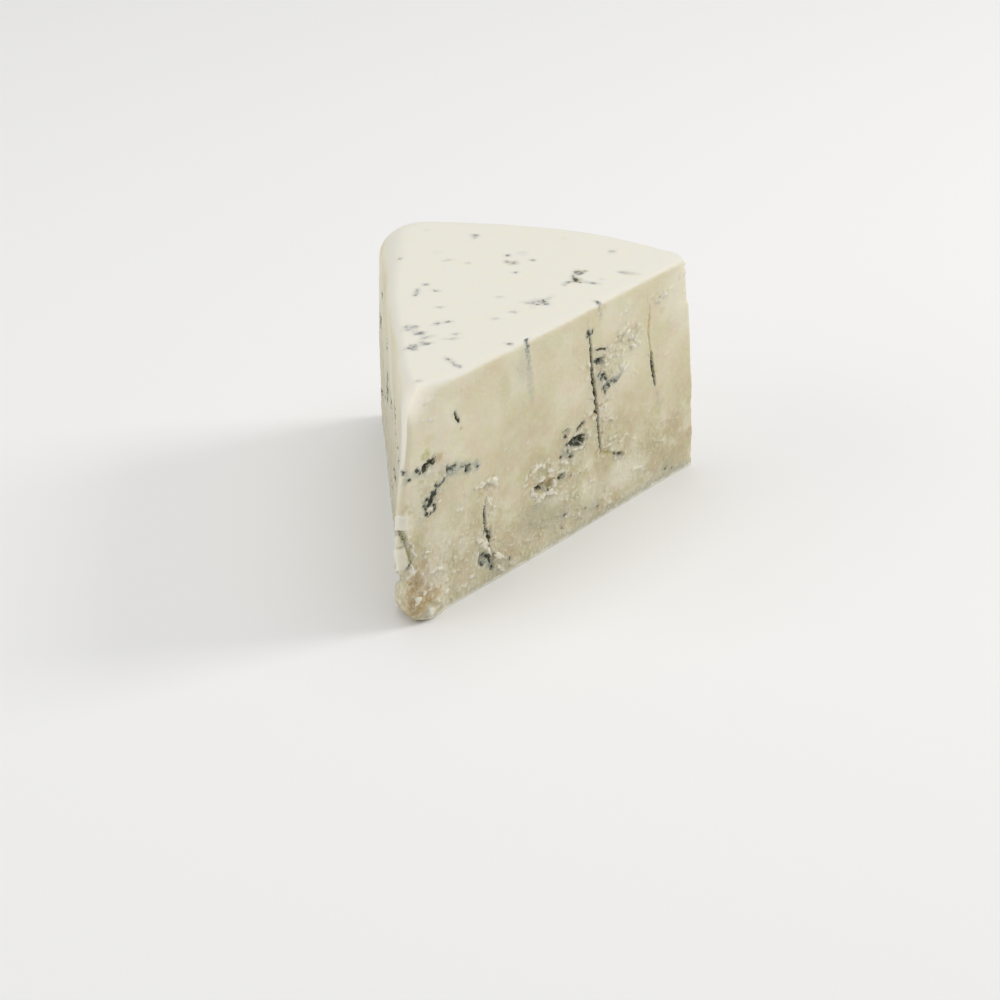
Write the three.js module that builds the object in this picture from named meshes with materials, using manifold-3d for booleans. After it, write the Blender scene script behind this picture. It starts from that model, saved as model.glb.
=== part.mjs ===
// Wedge of blue cheese, cut from a halved wheel, standing on its flat underside.
// Millimetres, +Z up, tip towards -Y. The wedge is shaped round the wheel's axis, where its two
// cut faces would meet, and then moved so that the origin is at the middle of the underside.
import * as THREE from 'three';
import Module from 'manifold-3d';
import { mergeVertices } from 'three/addons/utils/BufferGeometryUtils.js';

// Wheel and cut
const WHEEL_RADIUS = 100;
const CUT_HALF_ANGLE = THREE.MathUtils.degToRad(23.7);
const WEDGE_HEIGHT = 56.5;
const RIM_LEAN = 3.2;
const NOSE_TRIM = 1.4;
const WHEEL_AXIS = new THREE.Vector3(-0.4, -50.8, 0);

// The thin tip is pushed over to the left between its top corner and its foot
const TIP_LEAN = 1.9;
const TIP_LEAN_REACH = 15;
const TIP_LEAN_TOP = [27, 50];
const TIP_LEAN_FOOT = [3, 13];

// Roundings between neighbouring faces
const NOSE_ROUND = 0.9;
const NOSE_ROUND_TOP = 1.8;
const NOSE_ROUND_FOOT = 3.2;
const RIGHT_REAR_ROUND_BOTTOM = 0.5;
const RIGHT_REAR_ROUND_TOP = 3.2;
const LEFT_REAR_ROUND_BOTTOM = 3.5;
const LEFT_REAR_ROUND_TOP = 12;
const TOP_ROUND = 2.8;
const TOP_ROUND_RIGHT = 1.6;
const TOP_ROUND_LEFT_REAR = 7.5;
const TOP_ROUND_NOSE = 8;
const BOTTOM_ROUND = 0.2;
const BOTTOM_ROUND_NOSE = 4;

// Where a rounding changes into the next: heights, depth under the right face, distances from the axis
const NOSE_FOOT_CHANGE = [2, 16];
const NOSE_TOP_CHANGE = [34, 46];
const RIGHT_EDGE_CHANGE = [-9, -2];
const SIDES_CHANGE = [15, 60];
const NOSE_CHANGE = [NOSE_TRIM, 15];
const NOSE_BOTTOM_CHANGE = [NOSE_TRIM, 10];
const NOSE_BOTTOM_SKEW = 0.6;
const LEFT_CHANGE = [-30, 25];
const REAR_CHANGE = [45, 88];

// Broken foot of the tip: a lobe that spreads to the left
const FOOT_CENTRE = new THREE.Vector3(-1.0, 9.6, 3.6);
const FOOT_RADII = new THREE.Vector3(4.9, 5.6, 10.5);
const FOOT_BLEND = 2.5;

// Shallow swells of the hand-cut faces
const SWELL_DEPTH = 0.16;
const SWELL_LENGTH = 23;
const SWELL_HEIGHT = 17;
const CORNER_STEP_HEIGHTS = [43.6, 45.6];
const CORNER_STEP_DEPTH = 0.8;
const CORNER_STEP_REACH = 9;

// Mesh spacing
const COLUMN_STEP = 3.2;
const ROW_STEP = 2.8;
const NOSE_COLUMNS = 7;
const TOP_ROWS = [7.4, 5, 3.2, 2, 1.2, 0.6, 0.2, 0];
const BOTTOM_ROWS = [0, 0.3, 1, 2.2];
const RAY_ORIGIN_NEAR_TIP = 15;
const RAY_ORIGIN_NEAR_RIM = 70;
const RAY_REACH = 120;
const FACE_SEARCH = 6;
const SEARCH_STEPS = 40;
const END_CLEARANCE = 0.004;
const WELD = 1e-4;

// Piercing channels and cracks in the right face, as distance from the tip and height of both ends
const CRACKS = [
  { from: [59.7, 51.8], to: [64.8, 17.4], width: 1.1, depth: 3.2 },
  { from: [81.3, 49.3], to: [85.4, 23.3], width: 0.9, depth: 2.4 },
  { from: [25.4, 24.9], to: [26.3, 8.2], width: 1.2, depth: 2.2 },
  { from: [15.6, 48.3], to: [16.9, 45.1], width: 0.9, depth: 1.6 },
  { from: [1.6, 24.4], to: [4.0, 14.9], width: 1.3, depth: 2.6 },
];
const CRACK_BENDS = 7;
const CRACK_WOBBLE = 0.16;
const CUT_CLEARANCE = 3;

// Mould pits in the right face: place, half length, half height, slant, depth, curds left round the edge
const PITS = [
  { at: [7.6, 38.6], radii: [2.0, 1.2], slant: 0.7, depth: 1.6, curds: 3 },
  { at: [10.2, 31.6], radii: [3.2, 1.1], slant: 0.75, depth: 0.9, curds: 2 },
  { at: [7.6, 28.6], radii: [1.6, 1.9], slant: 0.2, depth: 1.4, curds: 3 },
  { at: [55.8, 24.9], radii: [2.7, 2.0], slant: 0.5, depth: 1.7, curds: 4 },
  { at: [65.8, 36.2], radii: [2.4, 1.3], slant: -0.5, depth: 0.9, curds: 3 },
  { at: [63.4, 43.6], radii: [1.3, 1.7], slant: 0, depth: 1.1, curds: 2 },
  { at: [43.8, 17.4], radii: [3.0, 2.0], slant: 0.4, depth: 1.5, curds: 7 },
  { at: [51.1, 17.6], radii: [1.5, 1.0], slant: 0.9, depth: 0.9, curds: 2 },
  { at: [26.5, 6.6], radii: [2.7, 1.9], slant: 0, depth: 1.5, curds: 6 },
  { at: [71.0, 15.0], radii: [1.3, 0.9], slant: 0, depth: 0.9, curds: 2 },
  { at: [73.6, 44.3], radii: [2.4, 2.0], slant: 0, depth: 0.7, curds: 6 },
];
const PIT_ROUGHNESS = 0.28;
const CURD_RADIUS = 0.95;
const CURD_SIZES = [0.7, 1.25];
const CURD_SINK = 0.45;
const CURD_RING = 1.25;

// Loose flakes of the broken tip: centre, width, depth and height, turn about Z
const TIP_FLAKES = [
  { at: [-1.9, 2.7, 25.5], size: [3.2, 2.2, 4.0], turn: 0.3 },
  { at: [-2.5, 4.2, 16.5], size: [3.2, 3.4, 6.4], turn: 0.2 },
  { at: [-0.4, 3.9, 13.4], size: [1.4, 2.0, 2.2], turn: 0.5 },
  { at: [0.9, 4.7, 5.9], size: [1.8, 2.0, 1.8], turn: 0.9 },
  { at: [3.7, 7.4, 1.6], size: [2.4, 2.2, 2.4], turn: 0.4 },
];
const FLAKE_ROUGHNESS = 0.3;
const TIP_NOTCH = { at: [-5.6, 5.0, 10.6], radii: [2.8, 3.4, 1.5] };
const TIP_CURDS = 16;
const TIP_CURD_PLACES = [4, 11];
const TIP_CURD_HEIGHTS = [0, 26];
const TIP_CURD_SIZES = [0.6, 1.1];

const CHEESE_COLOUR = 0xe6dfc8;
const CHEESE_ROUGHNESS = 0.62;
const SEED = 20260;

const COS_CUT = Math.cos(CUT_HALF_ANGLE);
const SIN_CUT = Math.sin(CUT_HALF_ANGLE);
const { lerp, clamp, smoothstep, seededRandom } = THREE.MathUtils;

const wasm = await Module();
wasm.setup();

// Seeded draws, so that every build gives the same crags
seededRandom(SEED);
function draw(low, high) {
  return lerp(low, high, seededRandom());
}

// Distance to the inside of two faces that meet in a rounded edge
function roundedMeet(a, b, radius) {
  const outside = Math.hypot(Math.max(a + radius, 0), Math.max(b + radius, 0));
  return Math.min(Math.max(a, b), -radius) + outside;
}

// Distance to two solids run together with a soft fillet
function softJoin(a, b, blend) {
  const share = Math.max(blend - Math.abs(a - b), 0) / blend;
  return Math.min(a, b) - share * share * blend * 0.25;
}

// Signed distance to the wedge: negative inside, positive outside
function wedgeDistance(x, y, z) {
  const rise = z / WEDGE_HEIGHT;
  const leanShare = smoothstep(z, ...TIP_LEAN_FOOT) - smoothstep(z, ...TIP_LEAN_TOP);
  const leaned = x + TIP_LEAN * leanShare * (1 - smoothstep(y, 0, TIP_LEAN_REACH));
  const swell = SWELL_DEPTH * Math.sin(2 * y / SWELL_LENGTH + 1) * Math.cos(2 * z / SWELL_HEIGHT);
  const cornerReach = smoothstep(Math.hypot(x, y), WHEEL_RADIUS - CORNER_STEP_REACH, WHEEL_RADIUS);
  const aboveStep = smoothstep(z, ...CORNER_STEP_HEIGHTS);
  const cornerStep = CORNER_STEP_DEPTH * cornerReach * aboveStep;
  const right = leaned * COS_CUT - y * SIN_CUT + swell + cornerStep;
  const left = -leaned * COS_CUT - y * SIN_CUT + swell;
  const rim = Math.hypot(x, y) - (WHEEL_RADIUS - RIM_LEAN * rise);
  const nose = NOSE_TRIM - y;

  const leftRear = lerp(LEFT_REAR_ROUND_BOTTOM, LEFT_REAR_ROUND_TOP, rise * rise);
  const rightRear = lerp(RIGHT_REAR_ROUND_BOTTOM, RIGHT_REAR_ROUND_TOP, rise * rise);
  const rightMeet = lerp(NOSE_ROUND, rightRear, smoothstep(y, ...SIDES_CHANGE));
  const rearSides = roundedMeet(roundedMeet(left, rim, leftRear), right, rightMeet);
  const lowNose = lerp(NOSE_ROUND_FOOT, NOSE_ROUND, smoothstep(z, ...NOSE_FOOT_CHANGE));
  const noseRound = lerp(lowNose, NOSE_ROUND_TOP, smoothstep(z, ...NOSE_TOP_CHANGE));
  const sides = roundedMeet(rearSides, nose, noseRound);

  const nearRight = smoothstep(right, ...RIGHT_EDGE_CHANGE);
  const nearNose = 1 - smoothstep(y, ...NOSE_CHANGE);
  const nearLeftRear = smoothstep(-x, ...LEFT_CHANGE) * smoothstep(y, ...REAR_CHANGE);
  const rearRound = lerp(lerp(TOP_ROUND, TOP_ROUND_LEFT_REAR, nearLeftRear), TOP_ROUND_RIGHT, nearRight);
  const topRound = lerp(rearRound, TOP_ROUND_NOSE, nearNose);
  const crowned = roundedMeet(sides, z - WEDGE_HEIGHT, topRound);

  const foot = new THREE.Vector3(x, y, z).sub(FOOT_CENTRE).divide(FOOT_RADII);
  const footDistance = (foot.length() - 1) * Math.min(FOOT_RADII.x, FOOT_RADII.y);
  const fromFoot = smoothstep(y + NOSE_BOTTOM_SKEW * x, ...NOSE_BOTTOM_CHANGE);
  const bottomRound = lerp(BOTTOM_ROUND_NOSE, BOTTOM_ROUND, fromFoot);
  return roundedMeet(softJoin(crowned, footDistance, FOOT_BLEND), -z, bottomRound);
}

// Sharp plan of the wedge, walked anticlockwise from the tip: one ray for each column of the mesh
function planColumns() {
  const faceColumns = Math.round(WHEEL_RADIUS / COLUMN_STEP);
  const rimColumns = Math.round(2 * CUT_HALF_ANGLE * WHEEL_RADIUS / COLUMN_STEP);
  const targets = [];
  for (let i = 1; i <= faceColumns; i += 1) {
    const along = NOSE_TRIM + (WHEEL_RADIUS - NOSE_TRIM) * i / faceColumns;
    targets.push([along * SIN_CUT, along * COS_CUT]);
  }
  for (let i = 1; i < rimColumns; i += 1) {
    const angle = lerp(CUT_HALF_ANGLE, -CUT_HALF_ANGLE, i / rimColumns);
    targets.push([WHEEL_RADIUS * Math.sin(angle), WHEEL_RADIUS * Math.cos(angle)]);
  }
  for (let i = faceColumns; i >= 1; i -= 1) {
    const along = NOSE_TRIM + (WHEEL_RADIUS - NOSE_TRIM) * i / faceColumns;
    targets.push([-along * SIN_CUT, along * COS_CUT]);
  }
  for (let i = 1; i < NOSE_COLUMNS; i += 1) {
    const across = lerp(-1, 1, i / NOSE_COLUMNS) * NOSE_TRIM * SIN_CUT;
    targets.push([across, NOSE_TRIM * COS_CUT]);
  }
  return targets.map(([x, y]) => {
    const start = new THREE.Vector2(0, clamp(y, RAY_ORIGIN_NEAR_TIP, RAY_ORIGIN_NEAR_RIM));
    return { start, way: new THREE.Vector2(x, y).sub(start).normalize() };
  });
}

// Heights of the rings: close together where the top and the foot are rounded
function ringHeights() {
  const first = BOTTOM_ROWS[BOTTOM_ROWS.length - 1];
  const last = WEDGE_HEIGHT - TOP_ROWS[0];
  const count = Math.round((last - first) / ROW_STEP);
  const middle = Array.from({ length: count - 1 }, (_, i) => lerp(first, last, (i + 1) / count));
  return [...BOTTOM_ROWS, ...middle, ...TOP_ROWS.map((drop) => WEDGE_HEIGHT - drop)];
}

// Where a level ray leaves the wedge. The rings of the two flat ends are found just inside them.
function surfacePoint(column, z) {
  const level = clamp(z, END_CLEARANCE, WEDGE_HEIGHT - END_CLEARANCE);
  let inner = 0;
  let outer = RAY_REACH;
  for (let i = 0; i < SEARCH_STEPS; i += 1) {
    const middle = (inner + outer) / 2;
    const x = column.start.x + column.way.x * middle;
    const y = column.start.y + column.way.y * middle;
    if (wedgeDistance(x, y, level) < 0) {
      inner = middle;
    } else {
      outer = middle;
    }
  }
  return [column.start.x + column.way.x * inner, column.start.y + column.way.y * inner, z];
}

// A closed mesh from stacked rings with flat ends
function stackedRings(rings) {
  const count = rings[0].length;
  const positions = rings.flat(2);
  const index = [];
  for (let row = 0; row + 1 < rings.length; row += 1) {
    for (let i = 0; i < count; i += 1) {
      const next = (i + 1) % count;
      const low = row * count;
      const high = low + count;
      index.push(low + i, low + next, high + next, low + i, high + next, high + i);
    }
  }
  const ends = [[0, false], [rings.length - 1, true]];
  for (const [row, upward] of ends) {
    const outline = rings[row].map(([x, y]) => new THREE.Vector2(x, y));
    for (const [a, b, c] of THREE.ShapeUtils.triangulateShape(outline, [])) {
      const corners = upward ? [a, b, c] : [a, c, b];
      index.push(...corners.map((corner) => row * count + corner));
    }
  }
  const geometry = new THREE.BufferGeometry();
  geometry.setAttribute('position', new THREE.Float32BufferAttribute(positions, 3));
  geometry.setIndex(index);
  return geometry;
}

function toSolid(geometry) {
  const bare = geometry.clone();
  bare.deleteAttribute('normal');
  bare.deleteAttribute('uv');
  const welded = mergeVertices(bare, WELD);
  return new wasm.Manifold(new wasm.Mesh({
    numProp: 3,
    vertProperties: new Float32Array(welded.attributes.position.array),
    triVerts: new Uint32Array(welded.index.array),
  }));
}

function toGeometry(solid) {
  const mesh = solid.getMesh();
  const geometry = new THREE.BufferGeometry();
  geometry.setAttribute('position', new THREE.Float32BufferAttribute(mesh.vertProperties, 3));
  geometry.setIndex(Array.from(mesh.triVerts));
  geometry.computeVertexNormals();
  return geometry;
}

// Frame on the right face: X along it from the tip, Y up, Z out of the cheese
const RIGHT_FACE = new THREE.Matrix4().makeBasis(
  new THREE.Vector3(SIN_CUT, COS_CUT, 0),
  new THREE.Vector3(0, 0, 1),
  new THREE.Vector3(COS_CUT, -SIN_CUT, 0),
);

// How far the cheese stands out of the right face's plane at a place on it
function faceLevel(along, up) {
  let inner = -FACE_SEARCH;
  let outer = FACE_SEARCH;
  for (let i = 0; i < SEARCH_STEPS; i += 1) {
    const middle = (inner + outer) / 2;
    const point = new THREE.Vector3(along, up, middle).applyMatrix4(RIGHT_FACE);
    if (wedgeDistance(point.x, point.y, point.z) < 0) {
      inner = middle;
    } else {
      outer = middle;
    }
  }
  return inner;
}

// An uneven lump: a ball with each corner drawn in or out
function unevenLump(radii, roughness, detail) {
  const ball = new THREE.IcosahedronGeometry(1, detail);
  ball.deleteAttribute('normal');
  ball.deleteAttribute('uv');
  const lump = mergeVertices(ball, WELD);
  const corners = lump.attributes.position;
  for (let i = 0; i < corners.count; i += 1) {
    const stretch = 1 + draw(-roughness, roughness);
    corners.setXYZ(
      i,
      corners.getX(i) * radii[0] * stretch,
      corners.getY(i) * radii[1] * stretch,
      corners.getZ(i) * radii[2] * stretch,
    );
  }
  return lump;
}

// A crack: a slim lens in the face that narrows to both ends, drawn along a slightly wandering line
function crackCutter({ from, to, width, depth }) {
  const start = new THREE.Vector2(...from);
  const line = new THREE.Vector2(...to).sub(start);
  const across = new THREE.Vector2(-line.y, line.x).normalize();
  const nearSide = [];
  const farSide = [];
  for (let i = 1; i < CRACK_BENDS; i += 1) {
    const share = i / CRACK_BENDS;
    const half = 0.5 * width * Math.sqrt(Math.sin(Math.PI * share));
    const wander = draw(-CRACK_WOBBLE, CRACK_WOBBLE);
    const middle = start.clone().addScaledVector(line, share).addScaledVector(across, wander);
    nearSide.push(middle.clone().addScaledVector(across, -half));
    farSide.unshift(middle.clone().addScaledVector(across, half));
  }
  const end = start.clone().add(line);
  const outline = new THREE.Shape([start, ...nearSide, end, ...farSide]);
  const slot = new THREE.ExtrudeGeometry(outline, { depth: depth + CUT_CLEARANCE, bevelEnabled: false });
  const level = faceLevel(start.x + line.x / 2, start.y + line.y / 2);
  return slot.translate(0, 0, level - depth).applyMatrix4(RIGHT_FACE);
}

function pitCutter({ at, radii, slant, depth }) {
  const hollow = unevenLump([radii[0], radii[1], depth], PIT_ROUGHNESS, 1);
  return hollow.rotateZ(slant).translate(at[0], at[1], faceLevel(...at)).applyMatrix4(RIGHT_FACE);
}

// One curd, half sunk in the face
function seatedCurd(along, up, radius) {
  const height = Math.max(up, 2 * radius);
  return unevenLump([radius, radius, radius], PIT_ROUGHNESS, 0)
    .translate(along, height, faceLevel(along, height) - radius * CURD_SINK)
    .applyMatrix4(RIGHT_FACE);
}

// Curds that stand on the edge of a pit
function pitCurds({ at, radii, slant, curds }) {
  return Array.from({ length: curds }, () => {
    const angle = draw(0, 2 * Math.PI);
    const edge = new THREE.Vector2(radii[0] * Math.cos(angle), radii[1] * Math.sin(angle))
      .multiplyScalar(CURD_RING)
      .rotateAround(new THREE.Vector2(), slant);
    return seatedCurd(at[0] + edge.x, at[1] + edge.y, CURD_RADIUS * draw(...CURD_SIZES));
  });
}

// A broken plate of the tip: a box with drawn corners
function tipFlake({ at, size, turn }) {
  const block = new THREE.BoxGeometry(...size, 2, 2, 2);
  block.deleteAttribute('normal');
  block.deleteAttribute('uv');
  const flake = mergeVertices(block, WELD);
  const corners = flake.attributes.position;
  for (let i = 0; i < corners.count; i += 1) {
    corners.setXYZ(
      i,
      corners.getX(i) + draw(-FLAKE_ROUGHNESS, FLAKE_ROUGHNESS),
      corners.getY(i) + draw(-FLAKE_ROUGHNESS, FLAKE_ROUGHNESS),
      corners.getZ(i) + draw(-FLAKE_ROUGHNESS, FLAKE_ROUGHNESS),
    );
  }
  return flake.rotateZ(turn).translate(...at);
}

// Small curds over the broken tip, on the first stretch of the right face
function tipCurds() {
  return Array.from({ length: TIP_CURDS }, () => {
    const along = draw(...TIP_CURD_PLACES);
    const up = draw(...TIP_CURD_HEIGHTS);
    return seatedCurd(along, up, CURD_RADIUS * draw(...TIP_CURD_SIZES));
  });
}

function wedgeGeometry() {
  const columns = planColumns();
  const rings = ringHeights().map((z) => columns.map((column) => surfacePoint(column, z)));
  const flakes = TIP_FLAKES.map(tipFlake);
  const notch = unevenLump(TIP_NOTCH.radii, PIT_ROUGHNESS, 1).translate(...TIP_NOTCH.at);
  const cuts = [notch, ...CRACKS.map(crackCutter), ...PITS.map(pitCutter)];
  const curds = [...PITS.flatMap(pitCurds), ...tipCurds()];

  let wedge = toSolid(stackedRings(rings));
  for (const flake of flakes) {
    wedge = wedge.add(toSolid(flake));
  }
  for (const cut of cuts) {
    wedge = wedge.subtract(toSolid(cut));
  }
  for (const curd of curds) {
    wedge = wedge.add(toSolid(curd));
  }
  return toGeometry(wedge);
}

const cheese = new THREE.MeshStandardMaterial({
  color: CHEESE_COLOUR,
  roughness: CHEESE_ROUGHNESS,
  metalness: 0,
});

const wedge = new THREE.Mesh(wedgeGeometry(), cheese);
wedge.name = 'cheese_wedge';
wedge.position.copy(WHEEL_AXIS);

const part = new THREE.Group();
part.add(wedge);

export default part;
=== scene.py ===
import math

import bmesh
import bpy
import numpy as np
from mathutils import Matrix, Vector, kdtree
from mathutils.geometry import delaunay_2d_cdt


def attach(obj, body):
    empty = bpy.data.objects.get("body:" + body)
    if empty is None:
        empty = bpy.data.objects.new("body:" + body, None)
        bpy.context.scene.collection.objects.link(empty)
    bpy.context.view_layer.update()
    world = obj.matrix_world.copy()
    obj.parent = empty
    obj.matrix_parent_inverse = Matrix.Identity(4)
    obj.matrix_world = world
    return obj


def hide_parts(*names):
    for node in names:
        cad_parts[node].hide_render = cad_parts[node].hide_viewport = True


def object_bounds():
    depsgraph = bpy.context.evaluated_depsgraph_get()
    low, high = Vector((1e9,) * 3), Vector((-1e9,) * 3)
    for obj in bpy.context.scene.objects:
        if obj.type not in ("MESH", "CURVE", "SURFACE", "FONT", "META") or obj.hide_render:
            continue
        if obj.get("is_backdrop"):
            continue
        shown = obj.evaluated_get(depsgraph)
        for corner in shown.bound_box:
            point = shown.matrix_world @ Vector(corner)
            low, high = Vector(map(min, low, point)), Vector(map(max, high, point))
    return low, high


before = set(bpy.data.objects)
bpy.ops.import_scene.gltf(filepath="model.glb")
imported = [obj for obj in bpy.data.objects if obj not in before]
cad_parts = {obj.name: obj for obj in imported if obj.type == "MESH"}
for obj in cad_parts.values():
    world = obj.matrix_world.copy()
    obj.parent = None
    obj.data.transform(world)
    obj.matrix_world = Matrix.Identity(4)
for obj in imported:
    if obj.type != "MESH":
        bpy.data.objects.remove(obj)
cad_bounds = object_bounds()

# Wedge of cheese
# An eighth of a halved wheel of soft, moist, blue-veined cheese. A wire cut its smooth top, a knife
# its two sides; the rim and the underside are the wheel's own thin skin, pressed in its mould.
MM = 0.001
WHEEL_RADIUS = 100.0
CUT_HALF_ANGLE = math.radians(23.7)
WEDGE_HEIGHT = 56.5
RIM_LEAN = 3.2
NOSE_TRIM = 1.4
WHEEL_AXIS = np.array([-0.4, -50.8, 0.0])
TIP_LEAN = 1.9
TIP_LEAN_REACH = 15.0
TIP_LEAN_TOP = (27.0, 50.0)
TIP_LEAN_FOOT = (3.0, 13.0)
NOSE_ROUND = 0.9
NOSE_ROUND_TOP = 1.8
NOSE_ROUND_FOOT = 3.2
NOSE_FOOT_CHANGE = (2.0, 16.0)
NOSE_TOP_CHANGE = (34.0, 46.0)
RIGHT_REAR_ROUND_BOTTOM = 0.5
RIGHT_REAR_ROUND_TOP = 3.2
LEFT_REAR_ROUND_BOTTOM = 3.5
LEFT_REAR_ROUND_TOP = 12.0
TOP_ROUND = 2.8
TOP_ROUND_RIGHT = 1.6
TOP_ROUND_LEFT_REAR = 7.5
TOP_ROUND_NOSE = 8.0
BOTTOM_ROUND = 0.2
BOTTOM_ROUND_NOSE = 4.0
SIDES_CHANGE = (15.0, 60.0)
RIGHT_EDGE_CHANGE = (-9.0, -2.0)
NOSE_CHANGE = (NOSE_TRIM, 15.0)
NOSE_BOTTOM_CHANGE = (NOSE_TRIM, 10.0)
NOSE_BOTTOM_SKEW = 0.6
LEFT_CHANGE = (-30.0, 25.0)
REAR_CHANGE = (45.0, 88.0)
FOOT_CENTRE = np.array([-1.0, 9.6, 3.6])
FOOT_RADII = np.array([4.9, 5.6, 10.5])
FOOT_BLEND = 2.5
SWELL_DEPTH = 0.16
SWELL_LENGTH = 23.0
SWELL_HEIGHT = 17.0
CORNER_STEP_HEIGHTS = (43.6, 45.6)
CORNER_STEP_DEPTH = 0.8
CORNER_STEP_REACH = 9.0
COS_CUT = math.cos(CUT_HALF_ANGLE)
SIN_CUT = math.sin(CUT_HALF_ANGLE)
ALONG_RIGHT = np.array([SIN_CUT, COS_CUT, 0.0])
OUT_RIGHT = np.array([COS_CUT, -SIN_CUT, 0.0])
ALONG_LEFT = np.array([-SIN_CUT, COS_CUT, 0.0])
OUT_LEFT = np.array([-COS_CUT, -SIN_CUT, 0.0])


def smoothstep(value, low, high):
    share = np.clip((value - low) / (high - low), 0, 1)
    return share * share * (3 - 2 * share)


def lerp(start, end, share):
    return start + (end - start) * share


def rounded_meet(a, b, radius):
    outside = np.hypot(np.maximum(a + radius, 0), np.maximum(b + radius, 0))
    return np.minimum(np.maximum(a, b), -radius) + outside


def soft_join(a, b, blend):
    share = np.maximum(blend - np.abs(a - b), 0) / blend
    return np.minimum(a, b) - share * share * blend * 0.25


def wedge_distance(x, y, z):
    """Distance in mm to the smooth wedge, negative inside, from the wheel's axis."""
    rise = z / WEDGE_HEIGHT
    lean_share = smoothstep(z, *TIP_LEAN_FOOT) - smoothstep(z, *TIP_LEAN_TOP)
    leaned = x + TIP_LEAN * lean_share * (1 - smoothstep(y, 0, TIP_LEAN_REACH))
    swell = SWELL_DEPTH * np.sin(2 * y / SWELL_LENGTH + 1) * np.cos(2 * z / SWELL_HEIGHT)
    outward = np.hypot(x, y)
    corner_reach = smoothstep(outward, WHEEL_RADIUS - CORNER_STEP_REACH, WHEEL_RADIUS)
    corner_step = CORNER_STEP_DEPTH * corner_reach * smoothstep(z, *CORNER_STEP_HEIGHTS)
    right = leaned * COS_CUT - y * SIN_CUT + swell + corner_step
    left = -leaned * COS_CUT - y * SIN_CUT + swell
    rim = outward - (WHEEL_RADIUS - RIM_LEAN * rise)
    left_rear = lerp(LEFT_REAR_ROUND_BOTTOM, LEFT_REAR_ROUND_TOP, rise * rise)
    right_rear = lerp(RIGHT_REAR_ROUND_BOTTOM, RIGHT_REAR_ROUND_TOP, rise * rise)
    right_meet = lerp(NOSE_ROUND, right_rear, smoothstep(y, *SIDES_CHANGE))
    rear_sides = rounded_meet(rounded_meet(left, rim, left_rear), right, right_meet)
    nose_round = lerp(NOSE_ROUND_FOOT, NOSE_ROUND, smoothstep(z, *NOSE_FOOT_CHANGE))
    nose_round = lerp(nose_round, NOSE_ROUND_TOP, smoothstep(z, *NOSE_TOP_CHANGE))
    sides = rounded_meet(rear_sides, NOSE_TRIM - y, nose_round)
    near_right = smoothstep(right, *RIGHT_EDGE_CHANGE)
    near_nose = 1 - smoothstep(y, *NOSE_CHANGE)
    near_left_rear = smoothstep(-x, *LEFT_CHANGE) * smoothstep(y, *REAR_CHANGE)
    rear_round = lerp(TOP_ROUND, TOP_ROUND_LEFT_REAR, near_left_rear)
    rear_round = lerp(rear_round, TOP_ROUND_RIGHT, near_right)
    crowned = rounded_meet(sides, z - WEDGE_HEIGHT, lerp(rear_round, TOP_ROUND_NOSE, near_nose))
    foot = np.stack([x, y, z], axis=-1) - FOOT_CENTRE
    foot_distance = (np.linalg.norm(foot / FOOT_RADII, axis=-1) - 1) * FOOT_RADII[:2].min()
    from_foot = smoothstep(y + NOSE_BOTTOM_SKEW * x, *NOSE_BOTTOM_CHANGE)
    bottom_round = lerp(BOTTOM_ROUND_NOSE, BOTTOM_ROUND, from_foot)
    return rounded_meet(soft_join(crowned, foot_distance, FOOT_BLEND), -z, bottom_round)


CELL_FACTORS = (374761393, 668265263, 1440662683)
SEED_FACTOR = 974634731
STIR_FACTOR = 1274126177
WHOLE_RANGE = 0xFFFFFFFF
HALF_RANGE = 0x7FFFFFFF
MOTTLE_SPREAD = 1.6
BUMP_WANDER = 0.42
SEAM_STEEPNESS = 1.6
FAR_AWAY = 99.0


def gradient_at(cell, seed):
    """Three random numbers from -1 to 1 for each cell of a lattice, always the same ones."""
    mixed = sum(cell[..., axis] * CELL_FACTORS[axis] for axis in range(3))
    mixed = (mixed + seed * SEED_FACTOR) & WHOLE_RANGE
    values = []
    for _ in range(3):
        mixed = ((mixed ^ (mixed >> 13)) * STIR_FACTOR) & WHOLE_RANGE
        mixed = mixed ^ (mixed >> 16)
        values.append(mixed / HALF_RANGE - 1)
    return np.stack(values, axis=-1)


def mottle(points, size, seed):
    """Smooth random field of about -1 to 1 whose blotches are about `size` mm across."""
    scaled = points / size
    cell = np.floor(scaled).astype(np.int64)
    part = scaled - cell
    fade = part * part * part * (part * (part * 6 - 15) + 10)
    total = np.zeros(points.shape[:-1])
    for corner in np.ndindex(2, 2, 2):
        step = np.array(corner)
        weight = np.prod(np.where(step == 1, fade, 1 - fade), axis=-1)
        total += weight * np.sum(gradient_at(cell + step, seed) * (part - step), axis=-1)
    return total * MOTTLE_SPREAD


def waves(points, layers):
    """Mottled layers laid together, each with its depth in mm, its size in mm and its seed."""
    return sum(depth * mottle(points, size, seed) for depth, size, seed in layers)


def curd_bumps(points, size, seed):
    """Rounded bumps packed side by side, 1 at each top and 0 in the seams between them."""
    scaled = points / size
    cell = np.floor(scaled).astype(np.int64)
    nearest = np.full(points.shape[:-1], FAR_AWAY)
    second = np.full(points.shape[:-1], FAR_AWAY)
    for corner in np.ndindex(3, 3, 3):
        other = cell + np.array(corner) - 1
        middle = other + 0.5 + BUMP_WANDER * gradient_at(other, seed)
        gap = np.linalg.norm(scaled - middle, axis=-1)
        second = np.minimum(second, np.maximum(nearest, gap))
        nearest = np.minimum(nearest, gap)
    return np.sqrt(np.clip((second - nearest) * SEAM_STEEPNESS, 0, 1))


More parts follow.
